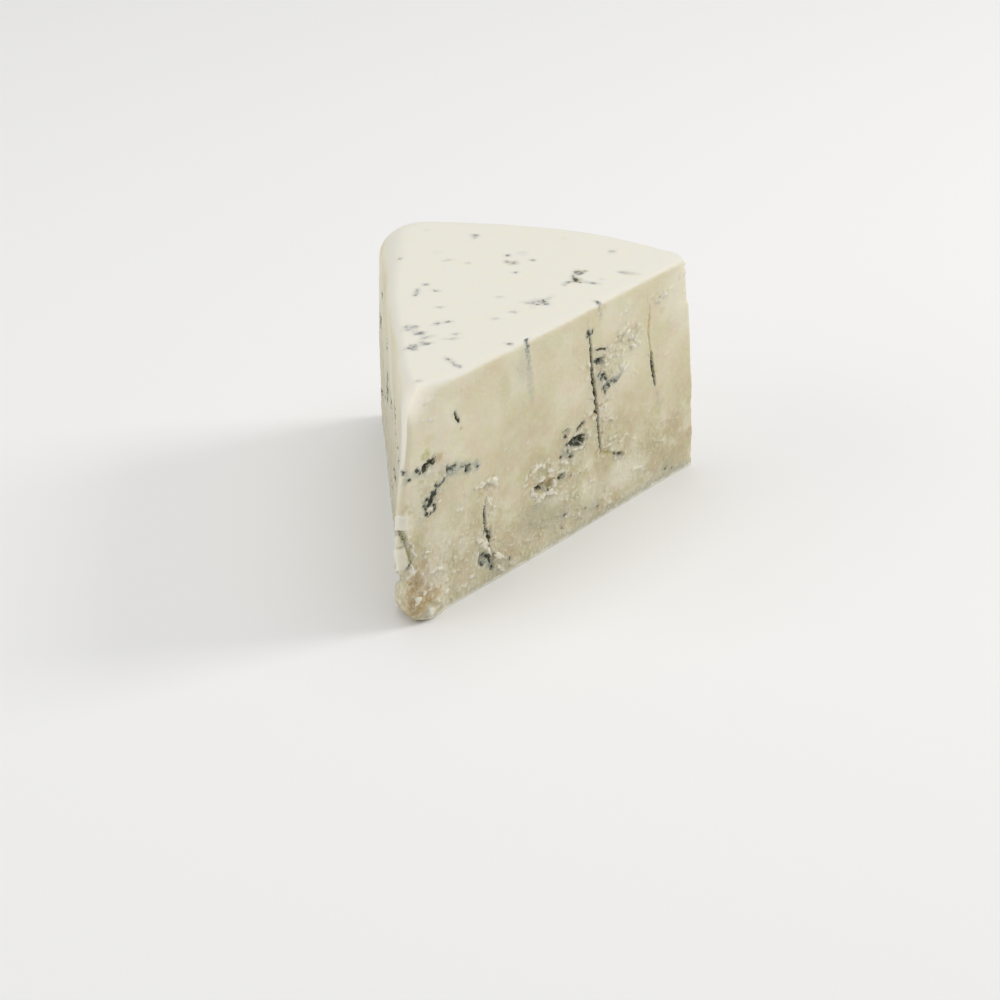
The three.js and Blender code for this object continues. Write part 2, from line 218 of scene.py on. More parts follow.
# Columns and rows of the wedge's skin, closer where the right face is torn and where edges turn
RIGHT_STEP = 0.31
CHANNEL_STEP = 0.14
CHANNEL_REACH = 0.6
LEFT_STEP = 0.8
LEFT_TIP_STEP = 0.36
LEFT_TIP_REACH = 11.0
RIM_STEP = 1.2
NOSE_COLUMNS = 14
ROW_STEP = 0.30
TOP_ROWS = (1.6, 1.3, 1.05, 0.8, 0.6, 0.42, 0.28, 0.16, 0.08, 0.03, 0.0)
BOTTOM_ROWS = (0.0, 0.1, 0.3)
TOP_STEP = 0.72
BOTTOM_STEP = 3.0
END_CLEARANCE = 0.004
MIDDLE_HEIGHT = 28.0
CHANNEL_PLACES = (25.7, 63.6, 84.2)
LEAN_PLACES = (0, 15, 25.7, 45, 63.6, 84.2, 100)
LEANS = (0, 0, 0.07, 0.1, 0.15, 0.17, 0)
RAY_NEAR_TIP = 15.0
RAY_NEAR_RIM = 70.0
RAY_REACH = 120.0
SEARCH_STEPS = 40
PLACES_TRIED = 6000
END_ROW_SPACING = 0.866
END_CLEAR_SHARE = 0.6
END_BATCH = 500

fine = np.linspace(NOSE_TRIM, WHEEL_RADIUS, PLACES_TRIED)
crowding = np.full_like(fine, 1 / RIGHT_STEP)
for place in CHANNEL_PLACES:
    crowding += (1 / CHANNEL_STEP - 1 / RIGHT_STEP) * np.exp(-(((fine - place) / CHANNEL_REACH) ** 2))
counted = np.concatenate([[0], np.cumsum(0.5 * (crowding[1:] + crowding[:-1]) * np.diff(fine))])
right_places = np.interp(np.linspace(0, counted[-1], int(counted[-1]) + 1)[1:], counted, fine)
left_tip = np.arange(NOSE_TRIM, LEFT_TIP_REACH, LEFT_TIP_STEP)
left_rest = np.linspace(LEFT_TIP_REACH, WHEEL_RADIUS, round((WHEEL_RADIUS - LEFT_TIP_REACH) / LEFT_STEP))
left_places = np.concatenate([left_tip, left_rest])[::-1]
rim_count = round(2 * CUT_HALF_ANGLE * WHEEL_RADIUS / RIM_STEP)
rim_angles = np.linspace(CUT_HALF_ANGLE, -CUT_HALF_ANGLE, rim_count + 1)[1:-1]
nose_places = np.linspace(-1, 1, NOSE_COLUMNS + 1)[1:-1] * NOSE_TRIM * SIN_CUT

last_row = WEDGE_HEIGHT - TOP_ROWS[0]
middle_rows = np.linspace(BOTTOM_ROWS[-1], last_row, round((last_row - BOTTOM_ROWS[-1]) / ROW_STEP))
heights = np.concatenate([BOTTOM_ROWS, middle_rows[1:-1], WEDGE_HEIGHT - np.array(TOP_ROWS)])
row_numbers = np.arange(len(heights))
every_other = (row_numbers - len(BOTTOM_ROWS)) % 2 == 1
coarse_row = every_other | (row_numbers < len(BOTTOM_ROWS)) | (row_numbers >= len(heights) - len(TOP_ROWS))
fine_column = np.concatenate(
    [
        np.full(len(right_places), True),
        np.full(len(rim_angles), False),
        left_places < LEFT_TIP_REACH,
        np.full(len(nose_places), True),
    ]
)

row_targets = []
for height in heights:
    shift = np.interp(right_places, LEAN_PLACES, LEANS) * (MIDDLE_HEIGHT - height)
    along = right_places + shift
    right_side = np.stack([along * SIN_CUT, along * COS_CUT], axis=1)
    rim_side = WHEEL_RADIUS * np.stack([np.sin(rim_angles), np.cos(rim_angles)], axis=1)
    left_side = np.stack([-left_places * SIN_CUT, left_places * COS_CUT], axis=1)
    nose_side = np.stack([nose_places, np.full_like(nose_places, NOSE_TRIM * COS_CUT)], axis=1)
    row_targets.append(np.concatenate([right_side, rim_side, left_side, nose_side]))
targets = np.array(row_targets)
row_count, column_count = targets.shape[:2]
starts = np.zeros_like(targets)
starts[..., 1] = np.clip(targets[..., 1], RAY_NEAR_TIP, RAY_NEAR_RIM)
ways = targets - starts
ways /= np.linalg.norm(ways, axis=-1, keepdims=True)
levels = np.clip(heights, END_CLEARANCE, WEDGE_HEIGHT - END_CLEARANCE)[:, None] * np.ones(column_count)
inner = np.zeros(levels.shape)
outer = np.full(levels.shape, RAY_REACH)
for _ in range(SEARCH_STEPS):
    middle = (inner + outer) / 2
    inside = wedge_distance(*np.moveaxis(starts + ways * middle[..., None], -1, 0), levels) < 0
    inner = np.where(inside, middle, inner)
    outer = np.where(inside, outer, middle)
ring_plan = starts + ways * inner[..., None]
ring_heights = np.repeat(heights[:, None], column_count, axis=1)
rings = np.concatenate([ring_plan, ring_heights[..., None]], axis=-1)


def flat_end(outline, step, height):
    """Points and triangles that fill a flat end, evenly strewn inside its outline."""
    low = outline.min(axis=0)
    high = outline.max(axis=0)
    rows = np.arange(low[1], high[1], step * END_ROW_SPACING)
    points = []
    for i, y in enumerate(rows):
        offset = 0.5 * step * (i % 2)
        points += [(x, y) for x in np.arange(low[0] + offset, high[0], step)]
    points = np.array(points)
    depth = wedge_distance(points[:, 0], points[:, 1], np.full(len(points), WEDGE_HEIGHT / 2))
    nearest = np.full(len(points), FAR_AWAY)
    for i in range(0, len(points), END_BATCH):
        gaps = np.linalg.norm(points[i : i + END_BATCH, None] - outline[None], axis=2)
        nearest[i : i + END_BATCH] = gaps.min(axis=1)
    x0, y0 = outline.T
    x1, y1 = np.roll(outline, -1, axis=0).T
    crossings = np.zeros(len(points), int)
    for i in range(len(outline)):
        spans = (y0[i] > points[:, 1]) != (y1[i] > points[:, 1])
        slope = (x1[i] - x0[i]) / (y1[i] - y0[i] if y1[i] != y0[i] else 1e-9)
        crossings += spans & (points[:, 0] < x0[i] + slope * (points[:, 1] - y0[i]))
    kept = points[(crossings % 2 == 1) & (nearest > END_CLEAR_SHARE * step) & (depth < 0)]
    flat = [Vector(p) for p in np.concatenate([outline, kept])]
    loop = [(i, (i + 1) % len(outline)) for i in range(len(outline))]
    verts, _, faces, *_ = delaunay_2d_cdt(flat, loop, [], 1, 1e-5)
    if len(verts) != len(flat):
        raise ValueError("the flat end gained points")
    return np.column_stack([kept, np.full(len(kept), height)]), faces


top_points, top_faces = flat_end(ring_plan[-1], TOP_STEP, WEDGE_HEIGHT)
bottom_points, bottom_faces = flat_end(ring_plan[0], BOTTOM_STEP, 0.0)
ring_points = rings.reshape(-1, 3)
ring_total = len(ring_points)
smooth_points = np.concatenate([ring_points, top_points, bottom_points])

# Which way the skin faces at each point
NUDGE = 0.02
slopes = []
probe = smooth_points.copy()
probe[:, 2] = np.clip(probe[:, 2], END_CLEARANCE, WEDGE_HEIGHT - END_CLEARANCE)
for axis in range(3):
    ahead = probe.copy()
    behind = probe.copy()
    ahead[:, axis] += NUDGE
    behind[:, axis] -= NUDGE
    slopes.append(wedge_distance(*ahead.T) - wedge_distance(*behind.T))
facing = np.stack(slopes, axis=1)
facing[ring_total : ring_total + len(top_points)] = (0, 0, 1)
facing[ring_total + len(top_points) :] = (0, 0, -1)
facing /= np.maximum(np.linalg.norm(facing, axis=1, keepdims=True), 1e-9)

x, y, z = smooth_points.T
right_along = smooth_points @ ALONG_RIGHT
left_along = smooth_points @ ALONG_LEFT

# The right face was read from the front right, so what lies on the tip in front of its plane is
# placed where that view's line meets the plane
VIEW_TURN = math.radians(18.15)
VIEW_SLOPE = 0.597
seen_across = x * math.cos(VIEW_TURN) + y * math.sin(VIEW_TURN)
seen_away = y * math.cos(VIEW_TURN) - x * math.sin(VIEW_TURN)
seen_along = seen_across / (SIN_CUT * math.cos(VIEW_TURN) + COS_CUT * math.sin(VIEW_TURN))
plane_away = seen_along * (COS_CUT * math.cos(VIEW_TURN) - SIN_CUT * math.sin(VIEW_TURN))
seen_height = z + VIEW_SLOPE * (seen_away - plane_away)
towards_view = facing @ np.array([math.sin(VIEW_TURN), -math.cos(VIEW_TURN), 0.0])

# How much each point of the skin belongs to each side: where one side fades into the next, as the
# share of it that the skin faces or as mm from the tip
RIGHT_FACED = (0.2, 0.6)
VIEW_FACED = (0.12, 0.4)
LEFT_FACED = (0.5, 0.85)
TOP_FACED = (0.3, 0.8)
BOTTOM_FACED = (0.45, 0.9)
RIM_FACED = (0.3, 0.8)
RIM_BEGINS = (88, 96)
TIP_ENDS = (6, 9)
NOSE_ENDS = (5, 10)
near_tip = 1 - smoothstep(y, *TIP_ENDS)
on_right = smoothstep(facing @ OUT_RIGHT, *RIGHT_FACED)
on_right = np.maximum(on_right, near_tip * smoothstep(towards_view, *VIEW_FACED))
on_left = smoothstep(facing @ OUT_LEFT, *LEFT_FACED) * (1 - on_right)
on_top = smoothstep(facing[:, 2], *TOP_FACED)
on_bottom = smoothstep(-facing[:, 2], *BOTTOM_FACED)
on_rim = smoothstep(np.hypot(x, y), *RIM_BEGINS) * smoothstep(facing[:, 1], *RIM_FACED)
on_nose = (1 - smoothstep(y, *NOSE_ENDS)) * (1 - on_top)

# Mould, stains and white curd, each as places on a face in mm: along the face from the tip, height,
# half length, half height and slant in degrees. On the top the two first are across and along.
RIGHT_MOULD = (
    (7.3, 39.0, 2.0, 0.7, 16), (6.2, 38.2, 1.0, 0.6, 40), (7.3, 39.6, 0.6, 0.7, 0),
    (8.9, 38.7, 0.8, 0.4, -5), (-0.4, 40.2, 0.9, 0.35, -35), (1.4, 37.6, 0.6, 0.45, 0),
    (3.7, 38.9, 0.5, 0.4, 30), (4.4, 37.9, 0.4, 0.6, 0), (13.6, 34.9, 0.6, 0.5, 30),
    (14.3, 34.6, 0.6, 0.3, -20), (13.5, 35.9, 0.25, 0.5, 0), (15.4, 35.3, 0.5, 0.2, 20),
    (19.6, 32.4, 0.6, 0.5, 30), (19.0, 33.4, 0.35, 0.5, 20), (20.4, 33.1, 0.3, 0.4, 0),
    (17.8, 33.8, 0.5, 0.24, 0), (22.7, 32.0, 0.35, 0.45, 30), (11.6, 33.0, 0.7, 0.3, 30),
    (10.5, 32.3, 0.6, 0.35, 30), (9.6, 32.9, 0.35, 0.5, 0), (8.9, 31.4, 1.0, 0.6, 40),
    (9.3, 30.8, 0.6, 0.5, 0), (8.2, 30.5, 0.7, 0.6, 0), (6.6, 30.5, 1.0, 0.42, 10),
    (7.9, 29.8, 1.2, 0.75, 20), (7.2, 28.9, 0.6, 0.5, 0), (6.0, 29.3, 0.6, 0.35, 20),
    (6.0, 28.2, 0.32, 0.6, 0), (6.5, 27.2, 0.7, 0.45, 10), (7.8, 26.7, 0.9, 0.32, 15),
    (9.1, 27.2, 0.36, 0.7, 0), (8.9, 28.3, 0.5, 0.4, 0), (15.8, 48.0, 0.3, 0.4, 0),
    (17.0, 45.6, 0.35, 0.5, 20), (25.6, 14.6, 0.7, 0.35, -30), (26.6, 13.6, 0.6, 0.45, -50),
    (26.5, 12.5, 0.45, 0.5, 0), (24.9, 14.4, 0.35, 0.3, 0), (23.5, 7.9, 0.35, 1.5, 5),
    (24.0, 6.2, 0.55, 0.5, 0), (24.6, 8.6, 0.5, 0.35, 20), (25.9, 7.7, 0.8, 0.4, -15),
    (27.5, 6.6, 1.0, 0.45, 56), (26.9, 5.6, 0.5, 0.4, 0), (27.5, 4.1, 0.35, 0.9, 0),
    (26.0, 5.6, 0.4, 0.3, 0), (53.1, 24.7, 0.8, 0.4, 0), (54.1, 25.1, 0.8, 0.5, 20),
    (54.0, 24.3, 0.7, 0.4, -20), (55.2, 25.3, 0.9, 0.55, -10), (55.0, 24.2, 0.6, 0.6, 30),
    (56.0, 24.5, 0.8, 0.5, 15), (55.8, 23.5, 0.9, 0.5, -15), (56.6, 25.3, 0.7, 0.4, 0),
    (56.9, 23.2, 1.0, 0.45, -12), (57.3, 24.4, 0.6, 0.7, 30), (58.2, 24.7, 1.0, 0.5, 12),
    (58.2, 23.8, 0.7, 0.5, -20), (57.6, 25.3, 0.5, 0.25, 20), (59.0, 23.5, 0.5, 0.15, 10),
    (58.9, 25.1, 0.4, 0.2, 30), (53.4, 22.9, 0.25, 0.9, 20), (54.4, 21.2, 0.7, 0.35, 10),
    (54.0, 21.9, 0.35, 0.4, 0), (50.6, 22.5, 0.45, 0.45, 20), (58.7, 21.7, 0.6, 0.3, -30),
    (57.6, 27.7, 1.1, 0.3, 16), (58.7, 28.1, 0.4, 0.35, 0), (52.5, 28.7, 0.9, 0.4, -10),
    (52.3, 27.1, 0.6, 0.3, -10), (63.6, 44.9, 1.0, 0.25, -14), (65.2, 44.4, 0.9, 0.18, -12),
    (62.3, 42.5, 0.5, 0.4, 0), (63.7, 41.6, 0.8, 0.35, -10), (64.7, 42.2, 0.35, 0.7, 10),
    (63.8, 38.4, 0.6, 0.35, 20), (65.5, 37.6, 0.5, 0.4, -30), (64.7, 36.9, 0.5, 0.35, 0),
    (66.3, 36.4, 0.35, 0.5, 30), (66.6, 35.0, 0.4, 0.65, 15), (65.8, 34.2, 0.6, 0.4, 20),
    (66.2, 32.9, 0.35, 0.6, -10), (67.6, 34.2, 0.35, 0.5, -20), (68.6, 34.6, 0.6, 0.24, 10),
    (69.8, 34.4, 0.5, 0.3, 0), (71.2, 35.2, 0.6, 0.18, 20), (59.6, 50.7, 0.35, 0.6, 0),
    (60.0, 49.9, 0.7, 0.4, 20), (61.2, 50.4, 0.35, 0.4, 0), (62.7, 57.0, 1.0, 0.25, -35),
    (43.2, 17.5, 1.0, 0.45, -12), (42.4, 17.6, 0.5, 0.3, 0), (44.4, 17.0, 0.5, 0.35, 0),
    (46.6, 15.8, 0.6, 0.25, -20), (50.8, 17.0, 0.55, 0.4, 35), (51.5, 17.6, 0.4, 0.3, 20),
    (54.2, 16.3, 0.35, 0.3, 0), (52.5, 6.4, 0.6, 0.3, -20), (38.8, 56.7, 0.45, 0.9, 10),
    (71.3, 14.5, 0.5, 0.22, -15), (72.5, 14.3, 0.5, 0.35, 30), (70.1, 15.4, 0.5, 0.25, -40),
    (64.4, 3.9, 0.25, 0.3, 0), (51.6, 3.6, 0.25, 0.2, 0), (89.5, 3.4, 0.4, 0.25, 0),
    (59.8, 5.3, 0.2, 0.2, 0), (0.6, 16.6, 0.9, 0.3, 40), (0.4, 2.4, 0.4, 0.3, 0), (33.6, 3.6, 0.35, 0.3, 0),
    (91.9, 2.3, 0.3, 0.2, 0),
)
RIGHT_HAZE = (
    (2.5, 38.2, 4.5, 1.5, 5, 0.45), (7.2, 37.0, 2.4, 1.4, 0, 0.35), (14.4, 34.6, 2.4, 1.9, 10, 0.65),
    (17.5, 33.8, 6.5, 1.7, -12, 0.55), (22.6, 32.2, 1.9, 1.9, 20, 0.65), (19.7, 32.7, 1.6, 1.6, 0, 0.65),
    (10.4, 32.0, 2.8, 1.1, 32, 0.5), (7.9, 29.4, 2.2, 2.6, 0, 0.3), (39.0, 55.0, 0.7, 3.4, 6, 1.0),
    (39.6, 51.4, 0.8, 4.0, 8, 0.65), (40.4, 45.5, 1.3, 6.5, 8, 0.4), (37.9, 51.0, 2.6, 5.5, 5, 0.22),
    (63.6, 54.6, 0.75, 3.2, 10, 0.6), (54.9, 47.6, 0.5, 2.4, 4, 0.2), (59.5, 52.6, 0.4, 2.4, 4, 0.3),
    (24.3, 7.7, 1.7, 2.1, 0, 1.0), (26.4, 5.8, 2.1, 1.6, -20, 0.85), (27.6, 4.2, 1.0, 1.4, 0, 0.4),
    (25.6, 18.3, 0.5, 3.0, 2, 0.4), (52.1, 23.2, 1.9, 1.6, 35, 0.75), (56.0, 24.4, 3.9, 1.7, 2, 0.7),
    (54.2, 21.3, 1.6, 1.2, 10, 0.5), (58.4, 22.0, 1.7, 0.9, -30, 0.45), (62.5, 42.4, 1.2, 1.1, 0, 0.8),
    (64.3, 41.9, 1.5, 1.2, 0, 0.5), (64.8, 37.6, 2.4, 1.3, -36, 0.75), (68.5, 35.0, 4.0, 1.3, 4, 0.75),
    (66.6, 34.2, 1.4, 1.6, -10, 0.75), (71.6, 35.6, 1.4, 0.8, 20, 0.6), (60.0, 50.3, 1.6, 1.2, 0, 0.4),
    (51.2, 17.3, 1.6, 1.2, 25, 0.75), (42.0, 12.8, 1.2, 0.9, 0, 0.3), (48.5, 8.0, 6.0, 2.4, 14, 0.1),
    (62.5, 4.6, 3.0, 1.6, 0, 0.2), (71.6, 13.6, 2.0, 1.1, -10, 0.5), (85.4, 24.2, 0.7, 2.6, 12, 0.4),
    (89.6, 3.6, 2.2, 1.1, 0, 0.35), (0.4, 18.8, 0.9, 2.0, 8, 0.4), (70.5, 9.5, 3.5, 1.3, 20, 0.14),
    (31.5, 3.0, 3.5, 1.6, 0, 0.2),
)
RIGHT_MOSS = (
    (6.6, 41.6, 1.9, 1.5, 20, 0.75), (8.0, 45.0, 2.2, 1.2, 10, 0.22), (31.8, 46.5, 2.6, 5.5, 4, 0.3),
    (33.4, 40.5, 3.2, 4.0, 0, 0.2), (23.8, 24.4, 1.3, 0.9, 10, 0.5), (47.2, 16.3, 1.3, 0.8, 10, 0.6),
    (65.3, 17.6, 0.8, 0.8, 0, 0.75), (67.2, 16.8, 1.2, 0.4, -12, 0.6), (54.5, 17.4, 1.6, 1.0, 20, 0.3),
    (63.9, 25.0, 0.8, 4.5, 6, 0.45), (69.4, 15.7, 2.0, 0.6, -18, 0.5), (81.4, 45.0, 0.55, 5.0, 0, 0.6),
    (82.6, 37.0, 0.6, 2.6, 14, 0.9), (71.2, 44.4, 1.8, 1.6, 0, 0.32), (86.4, 46.4, 1.4, 0.9, -20, 0.3),
    (-0.8, 24.4, 1.1, 2.4, 20, 0.9), (0.9, 19.0, 0.6, 3.4, 14, 0.9), (3.4, 22.0, 2.0, 3.4, 20, 0.3),
    (89.6, 3.4, 1.6, 0.9, 0, 0.35), (62.4, 35.6, 0.7, 2.6, 10, 0.6), (45.0, 8.5, 6.0, 3.6, 20, 0.18),
)
RIGHT_WARM = (
    (19.0, 18.0, 8.0, 16.0, 0, 0.4), (38.0, 6.0, 8.0, 5.0, 0, 0.6), (87.0, 9.0, 12.0, 9.0, 0, 0.6),
    (38.0, 34.0, 10.0, 8.0, 0, 0.4), (27.0, 6.0, 8.0, 6.0, 0, 0.4), (74.0, 24.0, 12.0, 8.0, 0, 0.1),
    (62.0, 33.0, 5.0, 7.0, 0, 0.3), (6.0, 5.0, 9.0, 6.0, 0, 0.5), (14.0, 8.0, 8.0, 7.0, 0, 0.25),
)
RIGHT_PALE = (
    (93.0, 49.0, 9.0, 9.0, 0, 0.65), (74.0, 9.0, 9.0, 5.0, 0, 0.7), (9.0, 50.0, 9.0, 6.0, 0, 0.35),
    (27.0, 46.0, 10.0, 8.0, 0, 0.25), (11.0, 19.0, 6.0, 8.0, 0, 0.25), (62.0, 9.0, 6.0, 5.0, 0, 0.3),
    (35.0, 19.5, 4.5, 4.0, 0, 0.35), (51.0, 12.5, 4.0, 3.0, 0, 0.25),
)
RIGHT_DULL = (
    (43.0, 10.5, 7.5, 5.0, 12, 0.6), (50.0, 7.0, 7.0, 4.0, 12, 0.45), (60.0, 4.5, 6.0, 3.0, 0, 0.4),
    (30.0, 3.0, 7.0, 3.0, 0, 0.3), (88.0, 3.5, 9.0, 2.8, 0, 0.3), (14.0, 33.0, 7.0, 5.0, 0, 0.12),
    (37.5, 47.0, 4.0, 8.0, 5, 0.12), (64.0, 37.0, 5.0, 6.0, 0, 0.16), (56.0, 21.0, 6.0, 4.0, 0, 0.15),
    (5.0, 2.0, 7.5, 3.5, 0, 0.2),
)
RIGHT_STAIN = (
    (10.6, 39.2, 1.7, 1.3, 0, 0.5), (9.4, 40.4, 1.4, 0.8, 0, 0.3), (18.0, 43.4, 0.7, 0.45, 0, 0.6),
    (46.1, 18.2, 1.6, 1.4, 0, 0.7), (47.6, 17.2, 1.3, 0.8, 20, 0.5), (62.2, 29.2, 1.9, 0.75, -6, 1.0),
    (64.6, 30.3, 1.6, 0.4, 4, 0.6), (65.4, 22.4, 0.5, 2.8, 6, 0.6), (66.6, 30.7, 1.2, 0.4, 8, 0.5),
    (81.6, 48.2, 0.5, 2.2, 0, 0.3), (81.3, 44.4, 0.5, 3.4, -4, 0.35), (81.7, 40.6, 0.5, 2.4, 8, 0.35),
    (83.9, 30.6, 0.6, 3.2, 12, 0.6), (1.8, 11.7, 2.6, 3.0, 10, 0.55), (3.5, 9.5, 0.6, 1.4, 10, 0.55),
    (3.0, 13.1, 0.6, 1.6, -8, 0.5), (4.6, 14.9, 2.2, 1.8, 0, 0.4), (5.6, 5.3, 0.9, 0.7, 30, 0.8),
    (3.0, 5.2, 1.8, 0.4, 12, 0.6), (4.4, 4.2, 2.0, 0.9, 8, 0.35), (0.6, 9.4, 1.6, 1.0, 0, 0.3),
    (3.4, 7.5, 5.5, 7.5, 0, 0.5), (8.4, 5.6, 3.4, 2.2, 8, 0.4), (1.6, 3.6, 4.0, 3.0, 0, 0.3),
    (-0.1, 31.0, 1.6, 0.8, 0, 0.35), (52.4, 27.0, 0.9, 0.5, 0, 0.4), (54.2, 16.4, 0.6, 0.5, 0, 0.4),
    (72.3, 14.4, 1.0, 0.7, 0, 0.4), (34.0, 6.6, 3.0, 2.2, 0, 0.16), (88.2, 13.6, 1.4, 1.4, 0, 0.25),
    (7.6, 26.0, 2.4, 1.6, 0, 0.12), (27.0, 10.0, 1.2, 2.0, 0, 0.3), (5.2, 35.8, 0.8, 0.6, 0, 0.3),
)
RIGHT_CURD = (
    (28.2, 26.2, 1.3, 0.8, -10), (26.2, 27.0, 1.3, 0.6, 20), (24.2, 26.8, 1.1, 0.5, 0),
    (22.2, 26.9, 1.0, 0.4, -10), (28.9, 25.2, 0.4, 1.0, 0), (26.4, 25.2, 0.6, 0.5, 0),
    (25.2, 20.8, 0.5, 0.5, 0), (26.6, 21.6, 0.6, 1.0, 0), (25.4, 10.7, 1.5, 0.75, -28),
    (23.4, 12.8, 1.1, 0.5, -20), (26.5, 8.6, 0.6, 0.9, 10), (26.4, 14.6, 0.4, 0.8, 10),
    (30.2, 5.6, 1.4, 0.5, -25), (30.4, 2.4, 0.9, 0.4, -40), (27.0, 7.6, 0.5, 0.25, 0),
    (22.6, 9.6, 0.9, 0.5, 30), (54.3, 23.7, 0.6, 0.4, 0), (55.4, 22.5, 1.3, 0.3, -12),
    (57.6, 22.3, 1.3, 0.3, 2), (52.0, 20.9, 1.2, 0.4, -15), (41.6, 16.7, 1.2, 0.6, -35),
    (41.1, 18.0, 0.7, 0.4, -20), (43.4, 14.6, 1.6, 0.8, 10), (46.6, 14.9, 1.4, 0.5, -10),
    (48.5, 14.4, 1.1, 0.5, -30), (48.4, 16.6, 0.9, 0.6, 30), (42.4, 23.6, 1.5, 0.5, -8),
    (44.6, 22.9, 1.1, 0.5, -20), (40.8, 22.9, 0.8, 0.5, 20), (47.2, 20.6, 1.1, 0.6, -35),
    (44.4, 19.4, 1.2, 0.5, 10), (51.0, 18.6, 1.2, 0.3, -18), (62.6, 27.9, 1.0, 0.5, 5),
    (60.6, 29.6, 0.6, 0.4, 0), (65.8, 29.4, 0.8, 0.4, 20), (62.3, 32.9, 0.8, 0.3, -35),
    (66.8, 44.0, 1.6, 0.4, 14), (65.6, 40.9, 0.8, 0.5, -40), (66.4, 40.2, 0.7, 0.3, 20),
    (67.6, 41.8, 1.3, 0.3, 8), (71.4, 46.6, 1.6, 0.5, 14), (73.6, 45.8, 1.1, 0.6, 0),
    (75.4, 43.7, 0.9, 0.7, 0), (75.8, 41.3, 1.1, 0.45, -10), (77.8, 41.3, 0.9, 0.3, -20),
    (76.8, 43.0, 0.6, 0.5, 30), (72.0, 37.8, 0.9, 0.5, 30), (72.9, 36.6, 0.8, 0.5, 40),
    (60.0, 42.5, 0.5, 0.9, 10), (59.6, 39.4, 0.5, 0.7, 0), (61.4, 46.6, 0.8, 0.3, 20),
    (72.8, 51.3, 1.4, 0.3, 10), (1.3, 15.4, 0.7, 1.1, 20), (1.7, 20.4, 0.4, 2.6, 14),
    (3.4, 6.7, 0.8, 0.8, 0), (8.6, 11.8, 1.4, 0.35, 14), (6.3, 11.4, 1.0, 0.3, 35),
    (7.5, 8.7, 0.4, 0.6, -30), (5.5, 7.7, 0.6, 0.4, 0), (9.7, 4.4, 0.7, 0.3, -10),
    (10.6, 11.6, 1.0, 0.35, -20), (6.4, 17.6, 1.5, 0.3, -10), (6.6, 19.4, 1.0, 0.4, 0),
    (5.9, 16.4, 1.0, 0.3, -25), (53.0, 6.3, 0.9, 0.5, -10), (57.6, 4.7, 0.7, 0.6, 0),
    (79.0, 8.0, 1.6, 0.3, -14), (76.6, 8.2, 1.0, 0.4, 10), (61.8, 11.4, 1.0, 0.3, -10),
    (55.8, 11.0, 1.2, 0.3, 10), (7.6, 36.8, 1.1, 0.5, 0), (7.4, 27.9, 1.1, 0.55, -8),
    (12.8, 4.6, 1.0, 0.5, 10), (20.4, 4.9, 0.8, 0.5, 0), (9.8, 3.8, 0.9, 0.4, -20),
    (14.8, 8.6, 0.9, 0.3, -20), (86.8, 50.0, 2.6, 0.2, 13), (93.4, 52.8, 1.2, 0.2, 22),
    (67.4, 25.6, 1.9, 0.18, -10), (68.6, 18.7, 1.8, 0.18, 5), (73.2, 18.4, 1.7, 0.18, 12),
    (69.5, 20.1, 1.7, 0.16, -5), (67.5, 26.9, 1.0, 0.16, -6), (7.9, 53.9, 1.3, 0.25, 12),
    (8.6, 49.4, 1.5, 0.25, -10), (6.0, 50.2, 0.9, 0.2, -20), (17.0, 23.6, 1.2, 0.4, 0),
)
